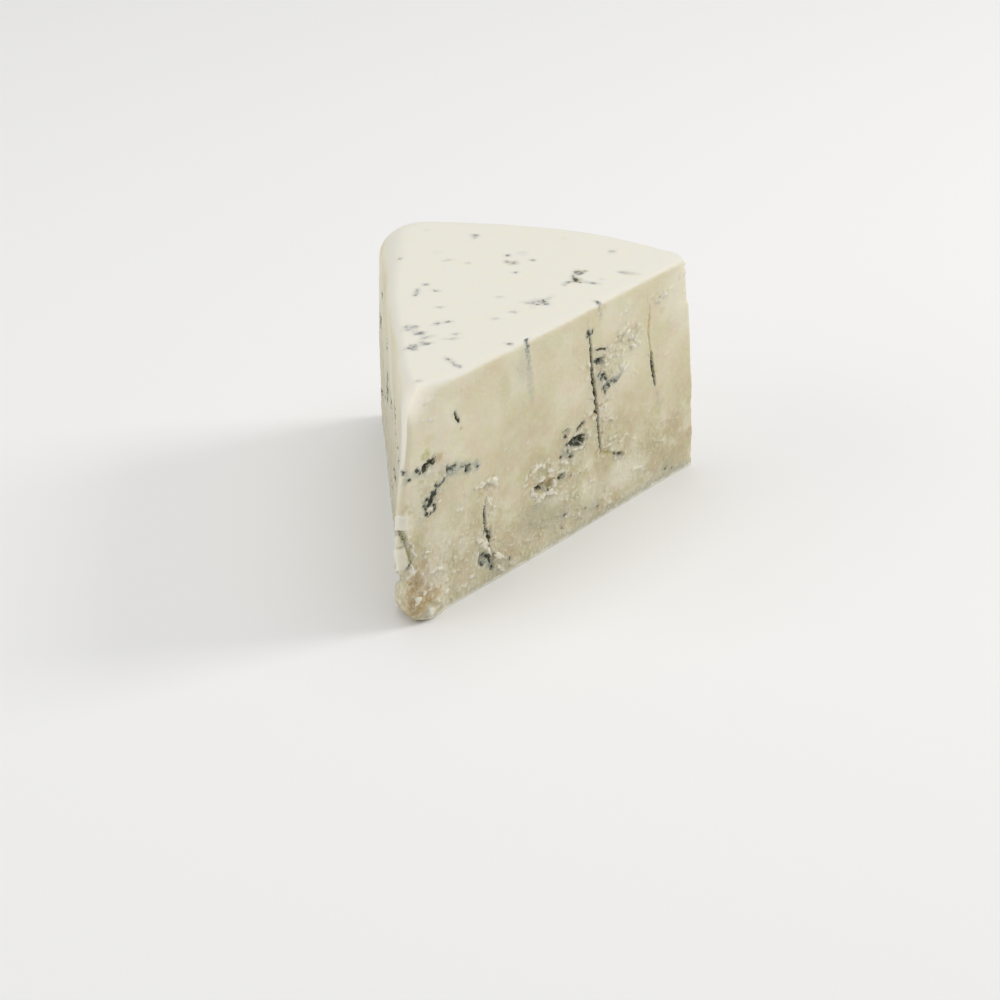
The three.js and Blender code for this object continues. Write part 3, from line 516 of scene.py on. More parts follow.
TOP_MOULD = (
    (-12.2, 83.8, 0.7, 0.45, 10), (-12.0, 82.5, 0.25, 0.5, 0), (-24.8, 66.5, 0.4, 0.45, 0),
    (-1.7, 75.5, 0.5, 0.55, 0), (4.7, 75.0, 0.45, 0.5, 0), (-0.9, 72.4, 0.5, 0.6, 20),
    (0.9, 72.2, 0.35, 0.7, -20), (2.8, 67.5, 0.5, 0.35, 20), (15.8, 71.8, 0.45, 0.6, 0),
    (16.4, 72.3, 0.4, 0.35, 0), (16.8, 71.2, 0.4, 0.6, 20), (17.3, 72.2, 0.35, 0.6, 30),
    (15.8, 66.1, 0.6, 0.35, 30), (16.4, 67.0, 0.55, 0.45, 40), (17.0, 68.1, 0.55, 0.8, 0),
    (17.7, 67.3, 0.55, 0.5, -20), (18.3, 67.1, 0.5, 0.35, 0), (16.0, 69.6, 0.3, 0.7, 10),
    (16.3, 68.6, 0.35, 0.6, 0), (17.8, 73.0, 0.3, 0.3, 0), (21.1, 67.6, 1.0, 0.35, 0),
    (22.2, 67.5, 0.5, 0.2, 10), (15.2, 64.7, 0.4, 0.4, 30), (19.4, 67.4, 0.5, 0.2, 0),
    (10.6, 53.4, 0.9, 0.3, 8), (12.4, 55.0, 0.5, 0.4, 30), (13.2, 55.9, 0.4, 0.3, 0),
    (14.0, 57.0, 0.3, 0.7, -20), (14.5, 54.1, 0.5, 0.45, 0), (12.8, 53.5, 0.8, 0.3, 20),
    (13.6, 54.9, 0.3, 0.5, -30), (11.4, 54.2, 0.4, 0.25, 30), (-14.4, 55.1, 0.45, 0.45, 0),
    (-15.3, 51.8, 0.4, 0.7, 10), (-14.9, 49.8, 0.35, 0.6, 0), (-11.2, 52.9, 0.6, 0.4, 0),
    (-3.5, 38.9, 0.7, 0.36, 40), (-5.4, 37.5, 0.8, 0.3, 50), (-10.0, 34.3, 0.35, 0.5, 20),
    (-11.4, 33.6, 0.3, 0.5, 10), (-9.4, 34.5, 0.45, 0.35, 50), (-7.7, 31.8, 0.7, 0.5, 30),
    (-8.1, 30.9, 0.5, 0.35, 50), (-5.3, 30.5, 0.9, 0.3, 50), (-6.9, 31.9, 0.55, 0.3, 50),
    (-4.5, 27.3, 0.9, 0.3, 48), (-6.4, 25.6, 0.4, 0.7, -10), (-7.5, 24.4, 0.9, 0.35, 52),
    (-6.1, 24.1, 0.5, 0.4, 0), (-7.1, 26.0, 0.7, 0.3, 55), (0.0, 33.8, 0.6, 0.32, 40),
    (12.5, 33.0, 0.6, 0.4, 0), (-5.9, 27.7, 0.4, 0.35, 50), (-5.2, 27.9, 0.4, 0.3, 50),
    (-0.3, 31.4, 0.8, 0.24, 25), (-10.6, 32.6, 0.6, 0.25, 40), (2.2, 22.0, 0.6, 0.4, -30),
    (3.6, 21.0, 0.5, 0.3, -40), (4.6, 20.0, 0.6, 0.4, -30), (5.8, 19.4, 0.4, 0.5, 10),
    (20.5, 85.3, 0.5, 0.4, 10), (24.9, 58.8, 0.6, 0.4, 0), (15.8, 35.2, 0.6, 0.5, -20),
    (26.4, 75.3, 0.8, 0.3, 10), (25.4, 75.1, 0.4, 0.3, 0), (-7.6, 45.2, 0.45, 0.18, 30),
    (3.4, 54.3, 0.4, 0.18, 30), (8.6, 48.0, 0.45, 0.2, 30), (5.8, 43.5, 0.4, 0.18, 30),
    (-0.3, 10.7, 0.4, 0.22, 50), (-14.0, 68.8, 0.4, 0.14, 30), (-9.2, 68.7, 0.3, 0.16, 30),
)
TOP_HAZE = (
    (-12.2, 83.5, 1.3, 1.3, 0, 0.3), (-24.8, 66.5, 0.9, 1.0, 0, 0.3), (-1.6, 75.6, 1.2, 1.1, 0, 0.35),
    (1.3, 77.6, 2.0, 1.5, 0, 0.24), (4.6, 75.0, 1.0, 1.0, 0, 0.3), (0.4, 72.2, 2.0, 1.3, 0, 0.3),
    (2.8, 67.5, 1.0, 0.8, 0, 0.3), (-14.0, 68.8, 1.0, 0.9, 0, 0.16), (-9.2, 68.7, 0.6, 0.6, 0, 0.24),
    (-17.5, 72.0, 1.6, 1.3, 0, 0.1), (20.6, 84.8, 1.1, 1.5, 0, 0.34), (16.6, 71.8, 1.6, 1.8, 0, 0.5),
    (17.2, 67.9, 1.7, 2.2, 0, 0.5), (20.8, 67.8, 2.4, 0.9, 0, 0.4), (22.6, 70.0, 1.2, 1.0, 0, 0.24),
    (26.6, 74.9, 1.5, 1.2, 0, 0.34), (28.8, 75.2, 2.2, 0.8, 14, 0.24), (12.6, 54.6, 2.9, 2.3, 20, 0.4),
    (12.0, 51.4, 1.2, 0.9, 0, 0.2), (3.4, 54.3, 0.9, 1.0, 0, 0.24), (8.6, 48.0, 0.9, 1.0, 0, 0.32),
    (5.8, 43.5, 0.9, 1.0, 0, 0.32), (-14.6, 54.9, 1.1, 1.0, 0, 0.45), (-15.2, 51.0, 0.9, 2.0, 0, 0.4),
    (-11.2, 52.9, 1.0, 0.8, 0, 0.45), (-7.6, 45.2, 0.9, 0.9, 0, 0.3), (-3.6, 38.8, 1.0, 0.9, 0, 0.5),
    (-5.6, 37.5, 1.0, 1.5, 10, 0.34), (-10.4, 33.4, 2.2, 2.0, 20, 0.45), (-7.8, 31.6, 1.8, 1.3, 0, 0.5),
    (-6.0, 29.9, 1.0, 1.2, 0, 0.4), (-5.1, 27.5, 1.5, 1.0, 0, 0.5), (-6.8, 25.0, 1.5, 1.7, 0, 0.5),
    (0.0, 33.7, 0.8, 0.9, 0, 0.32), (0.1, 31.3, 0.8, 0.6, 0, 0.28), (12.5, 33.0, 1.0, 0.8, 0, 0.4),
    (2.6, 21.8, 1.4, 0.9, -30, 0.45), (4.9, 20.0, 1.6, 0.9, -30, 0.45), (-0.3, 10.7, 0.7, 1.2, 0, 0.28),
    (-24.0, 82.8, 1.0, 1.2, 0, 0.14), (24.7, 58.8, 1.2, 0.8, 0, 0.5), (15.8, 35.2, 1.1, 0.9, 0, 0.5),
)
TOP_MOSS = (
    (0.6, 72.0, 2.0, 1.4, 0, 0.45), (16.8, 72.4, 1.5, 1.3, 0, 0.6), (17.6, 67.8, 1.4, 1.5, 0, 0.5),
    (27.8, 75.0, 2.4, 1.0, 10, 0.3), (8.0, 88.3, 0.8, 1.2, 20, 0.2),
)
TOP_OLIVE = (
    (16.6, 71.9, 2.2, 2.4, 0, 1.0), (17.0, 67.8, 2.6, 3.0, 0, 1.0), (13.6, 55.2, 1.6, 2.0, 0, 0.5),
    (20.8, 67.6, 1.8, 0.8, 0, 0.7),
)
RIGHT_OLIVE = (
    (7.2, 39.0, 3.2, 2.0, 14, 1.0), (64.4, 44.7, 2.4, 1.0, -12, 1.0), (43.4, 17.4, 2.0, 1.2, 0, 1.0),
    (53.9, 22.2, 1.6, 1.8, 30, 0.8), (57.8, 27.8, 2.0, 1.0, 18, 0.8), (72.0, 14.4, 1.8, 1.2, 0, 1.0),
    (56.2, 24.3, 4.0, 2.0, 0, 0.55), (52.4, 28.0, 1.4, 1.6, 0, 0.8), (50.6, 22.5, 1.0, 1.0, 0, 0.8),
    (25.4, 17.6, 1.0, 4.0, 0, 0.8), (51.0, 17.3, 1.4, 1.2, 20, 0.6),
)
RAGGED_EDGE = 0.45
RAGGED_SIZE = 1.3
NO_MOULD = -3.0
TINT_FADE = (0.35, 1.15)


def ragged(across, up, seed, reach=RAGGED_EDGE, size=RAGGED_SIZE):
    """A face's places pushed about a little, so that what is laid on them has torn edges."""
    flat = np.stack([across, up, np.zeros_like(across)], axis=-1)
    return across + reach * mottle(flat, size, seed), up + reach * mottle(flat, size, seed + 1)


def in_patch(across, up, patch):
    """Where points lie in a slanted patch, along it and across it, each 1 at the patch's edge."""
    place, height, half_length, half_height, slant = patch[:5]
    turn = math.radians(slant)
    length = ((across - place) * math.cos(turn) + (up - height) * math.sin(turn)) / half_length
    rise = ((up - height) * math.cos(turn) - (across - place) * math.sin(turn)) / half_height
    return length, rise


def patch_depth(across, up, patches):
    """How far inside the nearest patch each point lies, in mm, negative outside."""
    depth = np.full(across.shape, NO_MOULD)
    for patch in patches:
        reach = np.hypot(*in_patch(across, up, patch))
        depth = np.maximum(depth, (1 - reach) * min(patch[2:4]))
    return depth


def patch_tint(across, up, patches):
    """Soft patches, each with its own strength at the middle, fading to nothing at its edge."""
    tint = np.zeros(across.shape)
    for *patch, strength in patches:
        reach = np.hypot(*in_patch(across, up, patch))
        share = strength * (1 - smoothstep(reach, *TINT_FADE))
        tint = tint + share - tint * share
    return tint


# Needle channels and slits: the line each follows on its face, half width, depth and how far mould
# grows past its edges, all in mm, with None where no mould grows
RIGHT_CRACKS = (
    (((59.9, 51.0), (60.2, 50.2), (60.9, 45), (61.3, 40), (62.2, 36), (62.9, 32), (63.25, 29.6),
      (63.6, 28), (63.9, 24.5), (64.6, 20), (65.0, 17.5)), 0.36, 2.0, 0.7),
    (((65.0, 17.6), (66.5, 17.0), (67.8, 16.8), (70.2, 15.3), (72.6, 14.4)), 0.16, 0.35, None),
    (((81.8, 49.4), (81.25, 45), (81.3, 42), (81.9, 39.0), (82.6, 36.0)), 0.30, 0.16, None),
    (((82.4, 37.0), (82.9, 34.5), (83.6, 31), (84.4, 27.6)), 0.32, 1.6, 0.5),
    (((25.1, 21.2), (25.15, 19), (25.3, 15.6), (25.5, 14.0)), 0.24, 1.2, 0.4),
    (((83.6, 49.7), (85.2, 50.2), (86.8, 50.5)), 0.12, 0.4, None),
    (((25.9, 13.0), (26.4, 11.4), (26.3, 9.4)), 0.22, 0.9, 0.2),
    (((15.7, 48.2), (16.3, 46.8), (17.0, 45.2)), 0.2, 1.0, 0.4),
    (((-3.4, 26.9), (-1.5, 25.9), (-0.4, 23.3), (0.1, 21.2)), 0.55, 0.55, -0.4),
    (((-0.2, 22.4), (0.2, 21.0), (0.8, 19.0), (1.4, 16.8)), 0.40, 0.5, None),
    (((1.3, 17.0), (0.5, 16.3), (-0.2, 15.9)), 0.2, 0.5, 0.15),
    (((-4.4, 27.4), (-3.4, 27.1), (-2.4, 26.3)), 0.26, 0.5, 0.2),
    (((-2.9, 22.7), (-1.6, 22.2), (-0.2, 21.6)), 0.16, 0.5, None),
    (((62.4, 45.2), (64.0, 44.8), (66.0, 44.2)), 0.16, 0.8, 0.4),
)
RIGHT_PITS = (
    (7.2, 38.9, 2.0, 0.75, 14, 1.0), (8.2, 30.2, 1.4, 0.8, 35, 0.5), (13.9, 34.9, 1.4, 1.0, 10, 0.5),
    (19.6, 32.6, 1.2, 1.1, 0, 0.5), (56.2, 24.3, 3.2, 1.5, 1, 1.2), (54.2, 21.5, 0.9, 0.8, 20, 0.5),
    (57.9, 27.9, 1.6, 0.6, 16, 0.6), (52.7, 28.0, 1.3, 0.9, 0, 0.5), (64.1, 42.0, 1.6, 0.9, 0, 1.0),
    (65.2, 37.5, 1.6, 1.0, -36, 0.4), (67.6, 34.8, 2.4, 0.8, 2, 0.4), (66.2, 33.6, 0.8, 1.1, 0, 0.5),
    (44.2, 17.4, 2.6, 1.3, 0, 1.5), (47.0, 17.2, 1.6, 1.2, 20, 0.9), (51.1, 17.3, 1.3, 1.0, 20, 0.6),
    (24.3, 7.6, 1.4, 1.8, 0, 0.4), (27.2, 6.4, 1.4, 1.1, 20, 0.8), (27.5, 4.1, 0.7, 0.9, 0, 0.5),
    (26.0, 13.8, 1.3, 1.4, 0, 0.6), (72.0, 14.3, 1.5, 0.8, -10, 0.8), (73.8, 44.2, 3.2, 2.4, 0, 0.45),
    (62.9, 29.1, 1.2, 0.7, 10, 0.9), (52.6, 6.4, 0.9, 0.5, -15, 0.8), (43.0, 20.8, 3.4, 2.2, 0, 0.4),
    (66.5, 17.4, 2.0, 1.0, -10, 0.4), (2.4, 10.8, 2.2, 3.0, 10, 0.5), (26.0, 25.6, 1.6, 1.0, 0, 0.4),
)
RIGHT_TORN = (
    (66.5, 38.0, 6.5, 10.0, 0, 1.0), (74.0, 44.0, 5.5, 4.0, 0, 1.0), (67.0, 22.0, 7.0, 8.0, 0, 0.75),
    (56.0, 24.0, 6.5, 6.0, 0, 0.9), (45.0, 18.5, 7.5, 7.0, 0, 1.0), (54.0, 14.0, 9.0, 6.5, 0, 0.7),
    (26.0, 17.0, 4.0, 12.0, 0, 0.8), (26.0, 7.0, 6.5, 6.0, 0, 1.0), (8.5, 33.0, 7.5, 8.5, 0, 0.7),
    (6.0, 9.0, 10.0, 13.0, 0, 0.9), (50.0, 4.5, 60.0, 6.5, 0, 0.65), (30.0, 10.0, 34.0, 12.0, 0, 0.45),
    (80.0, 12.0, 18.0, 8.0, 0, 0.5), (15.0, 17.0, 11.0, 12.0, 0, 0.45), (17.0, 33.5, 8.0, 3.5, -8, 0.5),
    (86.0, 50.0, 5.0, 2.5, 8, 0.35),
)
# Strokes where the knife lifted a thin lip: one end, the other end and the lip's height
RIGHT_LIPS = (
    ((83.4, 49.3), (89.8, 50.8), 0.6), ((80.6, 51.2), (83.2, 51.4), 0.24),
    ((92.0, 52.3), (94.8, 53.4), 0.45), ((72.2, 51.0), (74.6, 51.6), 0.22),
    ((70.0, 46.2), (74.4, 45.4), 0.4), ((70.4, 47.4), (72.6, 47.0), 0.24),
    ((74.6, 43.9), (76.6, 44.4), 0.4), ((74.8, 41.0), (78.4, 41.2), 0.34),
    ((71.4, 37.2), (73.2, 38.3), 0.34), ((72.2, 36.3), (74.6, 36.9), 0.3),
    ((66.0, 43.6), (68.6, 44.4), 0.32), ((66.2, 41.6), (69.2, 41.2), 0.26),
    ((64.9, 41.0), (66.6, 40.0), 0.3), ((65.4, 25.8), (69.4, 25.0), 0.5),
    ((66.4, 26.9), (68.6, 26.6), 0.36), ((66.6, 18.4), (70.6, 18.7), 0.48),
    ((71.4, 17.8), (75.0, 18.6), 0.5), ((67.6, 20.1), (71.4, 19.8), 0.36),
    ((83.6, 13.4), (88.4, 11.2), 0.3), ((74.4, 35.2), (78.0, 33.6), 0.16),
    ((73.6, 34.4), (76.4, 33.2), 0.14), ((76.0, 8.4), (80.4, 7.4), 0.26),
    ((54.2, 22.6), (59.4, 22.2), 0.36), ((50.6, 20.8), (53.4, 20.3), 0.3),
    ((40.4, 23.0), (45.4, 22.6), 0.3), ((46.2, 20.8), (48.4, 19.8), 0.26),
    ((40.8, 17.6), (43.0, 15.9), 0.34), ((42.0, 14.4), (45.2, 14.6), 0.34),
    ((45.2, 15.0), (49.6, 13.6), 0.36), ((50.4, 18.8), (53.8, 17.8), 0.3),
    ((56.2, 15.6), (60.4, 15.9), 0.26), ((52.0, 6.8), (54.0, 5.9), 0.3), ((54.6, 10.9), (57.4, 11.3), 0.2),
    ((60.8, 11.6), (63.0, 11.0), 0.24), ((21.6, 27.0), (25.2, 26.6), 0.3),
    ((25.4, 26.4), (29.2, 26.4), 0.4), ((22.6, 13.2), (26.8, 10.2), 0.34), ((29.0, 6.4), (31.2, 4.9), 0.32),
    ((29.8, 3.0), (31.4, 1.4), 0.26), ((5.0, 17.8), (8.0, 17.2), 0.26), ((5.2, 16.8), (7.2, 15.6), 0.26),
    ((6.2, 11.2), (9.6, 11.9), 0.3), ((9.2, 12.0), (11.6, 11.0), 0.26), ((6.8, 53.6), (9.4, 54.3), 0.2),
    ((5.0, 50.6), (7.0, 49.9), 0.16), ((7.4, 49.6), (10.4, 49.2), 0.18), ((7.0, 4.6), (10.6, 3.4), 0.26),
    ((11.6, 4.4), (14.2, 4.9), 0.2), ((14.0, 8.8), (16.4, 8.2), 0.18), ((58.8, 30.6), (61.8, 29.2), 0.2),
    ((60.6, 34.0), (62.6, 32.6), 0.24), ((64.2, 29.2), (66.8, 29.6), 0.26),
)


def line_gap(across, up, line):
    """Distance from a bent line, and how far along it the nearest place is, from 0 to 1."""
    best = np.full(across.shape, FAR_AWAY)
    share = np.zeros(across.shape)
    corners = np.array(line)
    lengths = np.linalg.norm(np.diff(corners, axis=0), axis=1)
    passed = np.concatenate([[0], np.cumsum(lengths)])
    for i in range(len(lengths)):
        way = (corners[i + 1] - corners[i]) / lengths[i]
        run = np.clip((across - corners[i][0]) * way[0] + (up - corners[i][1]) * way[1], 0, lengths[i])
        gap = np.hypot(across - corners[i][0] - way[0] * run, up - corners[i][1] - way[1] * run)
        nearer = gap < best
        best = np.where(nearer, gap, best)
        share = np.where(nearer, (passed[i] + run) / passed[-1], share)
    return best, share


LIP_SCALE = 1.1
LIP_BOW = 0.15
LIP_BOW_PACE = 2.1
LIP_END_FADE = (0.2, 0.5)
LIP_STEEP_SIDE = (-0.14, 0.06)
LIP_RUN_OUT = 0.55


def lip_rise(across, up, lips):
    """Thin lips that the knife lifted: steep on the lower side, running out on the upper side."""
    rise = np.zeros(across.shape)
    for start, end, height in lips:
        way = np.array(end) - np.array(start)
        length = np.linalg.norm(way)
        way = way / length
        run = (across - start[0]) * way[0] + (up - start[1]) * way[1]
        side = (up - start[1]) * way[0] - (across - start[0]) * way[1]
        bow = side - LIP_BOW * np.sin(run * LIP_BOW_PACE + start[0])
        outer, inner = LIP_END_FADE
        ends = smoothstep(run, -outer, inner) * (1 - smoothstep(run, length - inner, length + outer))
        lip = smoothstep(bow, *LIP_STEEP_SIDE) * np.exp(-np.maximum(bow, 0) / LIP_RUN_OUT)
        rise = np.maximum(rise, LIP_SCALE * height * ends * lip)
    return rise


FLAKE_LEAST = 0.18
FLAKE_SHARE = 0.5
FLAKE_EDGE = (0.8, 1.1)
FLAKE_MIDDLE = 0.6
FLAKE_TILT = 0.4


def flake_rise(across, up, patches):
    """Small flakes torn half loose, each standing out most at its lower edge, where it breaks off."""
    rise = np.zeros(across.shape)
    for patch in patches:
        length, side = in_patch(across, up, patch)
        inside = 1 - smoothstep(np.hypot(length, side), *FLAKE_EDGE)
        lift = FLAKE_LEAST + FLAKE_SHARE * patch[3]
        rise = np.maximum(rise, lift * inside * (FLAKE_MIDDLE - FLAKE_TILT * np.clip(side, -1, 1)))
    return rise


# Layers torn along the knife's stroke: its slant in degrees, how many steps the broad waves of a
# layer make and the small ones, and how much closer the small ones lie
STROKE_SLANT = -20
STROKE_FALL = math.radians(-STROKE_SLANT)
BROAD_STEPS = 2.4
SMALL_STEPS = 0.8
SMALL_PACE = 2.3


def flake_steps(along, height, length, width, seed):
    """Thin torn layers: each rises slowly and breaks off at a sharp step, from 0 to 1."""
    turn = math.radians(STROKE_SLANT)
    run = (along * math.cos(turn) + height * math.sin(turn)) / length
    side = (height * math.cos(turn) - along * math.sin(turn)) / width
    broad = np.stack([run, side, np.full_like(run, seed * 1.7)], axis=-1)
    small = np.stack([SMALL_PACE * run, SMALL_PACE * side, np.full_like(run, seed * 2.9)], axis=-1)
    field = BROAD_STEPS * mottle(broad, 1.0, seed) + SMALL_STEPS * mottle(small, 1.0, seed + 1)
    return field - np.floor(field)


# Relief of a cut face in mm: broad waves, the drag of the knife, packed curd and torn layers, each
# a little on smooth ground and more where the face is torn
BROAD_WAVE = 0.10
BROAD_WAVE_SIZE = 11.0
SMALL_WAVE = 0.05
SMALL_WAVE_SIZE = 4.0
DRAG_LENGTH = 3.0
DRAG_WIDTH = 0.7
DRAG_DEPTHS = (0.03, 0.07)
COARSE_CURD = 1.7
FINER_CURD = 0.95
CURD_DEPTHS = (0.08, 0.05)
CURD_MEAN = 0.6
TORN_WAVE = 0.12
TORN_WAVE_SIZE = 2.1
LARGE_FLAKES = (2.8, 1.0)
LARGE_FLAKE_DEPTHS = (0.03, 0.20)
SMALL_FLAKES = (1.3, 0.6)
SMALL_FLAKE_DEPTHS = (0.02, 0.10)
CRACK_WANDER = 0.12
CRACK_UNEVEN = 0.5
CRACK_LIP = 0.16
BEAD_RISE = 0.14
BEAD_GAP = 0.4
BEAD_WIDTH = 0.3
OLIVE_REACH = 0.5
PIT_ROUGHNESS = 0.45
PIT_EDGE = (0.5, 1.08)
PIT_CRUMB_RISE = 0.24
PIT_CRUMB_REACH = 1.3
PIT_CRUMB_WIDTH = 0.26
GOLD_EDGE = 0.35
GOLD_WIDTH = 0.2


def cut_face(along, height, seed, cracks, pits, torn_places, lips, mould, haze, moss, stain, curd):
    """Relief of a cut face in mm and the tints on it, all from the same places."""
    flat = np.stack([along, height, np.full_like(along, seed * 3.7)], axis=-1)
    wild_along, wild_height = ragged(along, height, seed)
    torn = np.clip(patch_tint(along, height, torn_places), 0, 1)
    torn = np.clip(torn * (1 + 1.3 * mottle(flat, 4.5, seed + 5) + 0.5 * mottle(flat, 2.0, seed + 6)), 0, 1)
    run = along * math.cos(STROKE_FALL) - height * math.sin(STROKE_FALL)
    side = height * math.cos(STROKE_FALL) + along * math.sin(STROKE_FALL)
    drag = np.stack([run / DRAG_LENGTH, side / DRAG_WIDTH, np.full_like(along, seed * 1.3)], axis=-1)
    relief = waves(flat, ((BROAD_WAVE, BROAD_WAVE_SIZE, seed + 7), (SMALL_WAVE, SMALL_WAVE_SIZE, seed + 8)))
    relief += (DRAG_DEPTHS[0] + DRAG_DEPTHS[1] * torn) * mottle(drag, 1.0, seed + 9)
    coarse = curd_bumps(flat, COARSE_CURD, seed + 10) - CURD_MEAN
    finer = curd_bumps(flat, FINER_CURD, seed + 11) - CURD_MEAN
    relief += torn * (CURD_DEPTHS[0] * coarse + CURD_DEPTHS[1] * finer)
    relief += torn * TORN_WAVE * mottle(flat, TORN_WAVE_SIZE, seed + 12)
    large_flakes = flake_steps(wild_along, wild_height, *LARGE_FLAKES, seed + 18) - 0.5
    small_flakes = flake_steps(wild_along, wild_height, *SMALL_FLAKES, seed + 20) - 0.5
    relief += (LARGE_FLAKE_DEPTHS[0] + LARGE_FLAKE_DEPTHS[1] * torn) * large_flakes
    relief += (SMALL_FLAKE_DEPTHS[0] + SMALL_FLAKE_DEPTHS[1] * torn) * small_flakes
    relief += lip_rise(wild_along, wild_height, lips)
    depth = np.full(along.shape, NO_MOULD)
    hollow = np.zeros(along.shape)
    olive = np.zeros(along.shape)
    gold = np.zeros(along.shape)
    wandering = along + CRACK_WANDER * mottle(flat, 1.1, seed + 13)
    wider_here = 1 + CRACK_UNEVEN * mottle(flat, 1.4, seed + 14)
    beads = smoothstep(mottle(flat, 1.3, seed + 15), 0.05, 0.35)
    for line, half_width, deep, fill in cracks:
        gap, share = line_gap(wandering, height, line)
        narrow = np.sqrt(np.clip(np.sin(math.pi * np.clip(share, 0.02, 0.98)), 0, 1))
        width = half_width * narrow * wider_here
        hollow += deep * narrow * (1 - smoothstep(gap, 0.35 * width, width + CRACK_LIP))
        relief += BEAD_RISE * np.exp(-(((gap - width - BEAD_GAP) / BEAD_WIDTH) ** 2)) * beads
        if fill is not None:
            filled = fill * (1 - smoothstep(gap, 0.5 * width, width))
            depth = np.maximum(depth, width - gap + filled)
            olive = np.maximum(olive, 1 - smoothstep(gap, width, width + OLIVE_REACH))
    pit_floor = 1 + PIT_ROUGHNESS * mottle(flat, 0.9, seed + 16)
    crumbs = smoothstep(mottle(flat, 1.15, seed + 17), -0.05, 0.25)
    gilded = smoothstep(mottle(flat, 1.6, seed + 21), -0.1, 0.3)
    for *pit, deep in pits:
        reach = np.hypot(*in_patch(wild_along, wild_height, pit))
        hollow += deep * pit_floor * (1 - smoothstep(reach, *PIT_EDGE))
        relief += PIT_CRUMB_RISE * np.exp(-(((reach - PIT_CRUMB_REACH) / PIT_CRUMB_WIDTH) ** 2)) * crumbs
        edge = np.exp(-(((reach - 1.0) / GOLD_WIDTH) ** 2))
        gold = np.maximum(gold, GOLD_EDGE * edge * gilded)
    white = patch_depth(wild_along, wild_height, curd)
    crust = curd_bumps(flat, 0.75, seed + 22)
    lump = smoothstep(white + 0.3 * mottle(flat, 0.8, seed + 19), -0.12, 0.3)
    relief += flake_rise(wild_along, wild_height, curd) * (0.35 + 0.85 * crust)
    tints = {
        "mould": np.maximum(depth, patch_depth(wild_along, wild_height, mould)),
        "haze": patch_tint(wild_along, wild_height, haze),
        "moss": patch_tint(wild_along, wild_height, moss),
        "stain": np.maximum(patch_tint(wild_along, wild_height, stain), gold),
        "curd": np.clip(lump * (0.15 + 0.8 * crust), 0, 1),
        "torn": torn,
        "olive": olive,
    }
    return relief, hollow, tints


# Many small lips besides, strewn from a seed and thickest where the right face is torn and low down
SMALL_LIP_SEED = 207
SMALL_LIPS = 330
SMALL_LIP_ALONG = (1, 96)
SMALL_LIP_UP = (1.5, 54)
SMALL_LIP_LENGTHS = (0.7, 2.0)
SMALL_LIP_HEIGHTS = (0.08, 0.26)
SMALL_LIP_TURN = 16
RIGHT_GRAIN_SEED = 11
lip_draw = np.random.default_rng(SMALL_LIP_SEED)
small_lips = []
while len(small_lips) < SMALL_LIPS:
    a = lip_draw.uniform(*SMALL_LIP_ALONG)
    h = lip_draw.uniform(*SMALL_LIP_UP)
    near_torn = float(patch_tint(np.array([a]), np.array([h]), RIGHT_TORN)[0])
    if lip_draw.uniform(0, 1) < 0.16 + 0.5 * near_torn + 0.2 * (1 - h / WEDGE_HEIGHT):
        reach = lip_draw.uniform(*SMALL_LIP_LENGTHS)
        tilt = -STROKE_FALL + math.radians(lip_draw.normal(0, SMALL_LIP_TURN))
        end = (a + reach * math.cos(tilt), h + reach * math.sin(tilt))
        small_lips.append(((a, h), end, lip_draw.uniform(*SMALL_LIP_HEIGHTS) * (0.7 + 0.8 * near_torn)))
right_relief, right_hollow, right_tints = cut_face(
    seen_along, seen_height, RIGHT_GRAIN_SEED,
    RIGHT_CRACKS, RIGHT_PITS, RIGHT_TORN, RIGHT_LIPS + tuple(small_lips),
    RIGHT_MOULD, RIGHT_HAZE, RIGHT_MOSS, RIGHT_STAIN, RIGHT_CURD,
)

# Plates and blocks that split off along a vein when the thin tip was handled: middle along and up,
# half length, half height and how far each stands out. Their edges fall with the view's slope, and
# to the right they run out into the face.
TIP_PLATES = (
    (-0.6, 28.0, 2.9, 1.9, 0.35),
    (-3.4, 24.6, 1.6, 1.3, 0.55),
    (-2.2, 19.4, 2.6, 2.8, 0.6),
    (1.4, 15.3, 0.6, 1.0, 0.5),
    (-3.5, 15.2, 1.6, 1.0, -1.3),
    (3.2, 6.7, 0.8, 0.8, 0.5),
    (8.0, 1.6, 1.5, 1.2, 0.7),
)
PLATE_FALL = 0.35
PLATE_EDGE = 0.14
PLATE_RUN_OUT = 0.75
PLATE_GRAIN_SEED = 141
PLATE_RAGGED = (0.45, 1.5)
near_plates = 1 - smoothstep(y, 9, 12)
tip_plates = np.zeros_like(x)
tip_along, tip_height = ragged(seen_along, seen_height, PLATE_GRAIN_SEED, *PLATE_RAGGED)
for place, up, half_length, half_height, rise in TIP_PLATES:
    across = np.abs(tip_along - place) - half_length
    level = tip_height - up + PLATE_FALL * (tip_along - place)
    inside = 1 - smoothstep(np.maximum(across, np.abs(level) - half_height), -PLATE_EDGE, PLATE_EDGE)
    run_out = 1 - PLATE_RUN_OUT * smoothstep(tip_along, place - 0.3 * half_length, place + half_length)
    tip_plates = tip_plates + rise * near_plates * inside * run_out
    # Raised plates take the curd's white, with a painted highlight along the top edge of each plate
    if rise > 0:
        pale = 0.8 + 0.2 * np.exp(-(((level - half_height + 0.2) / 0.35) ** 2))
        right_tints["curd"] = np.maximum(right_tints["curd"], pale * near_tip * inside * run_out)

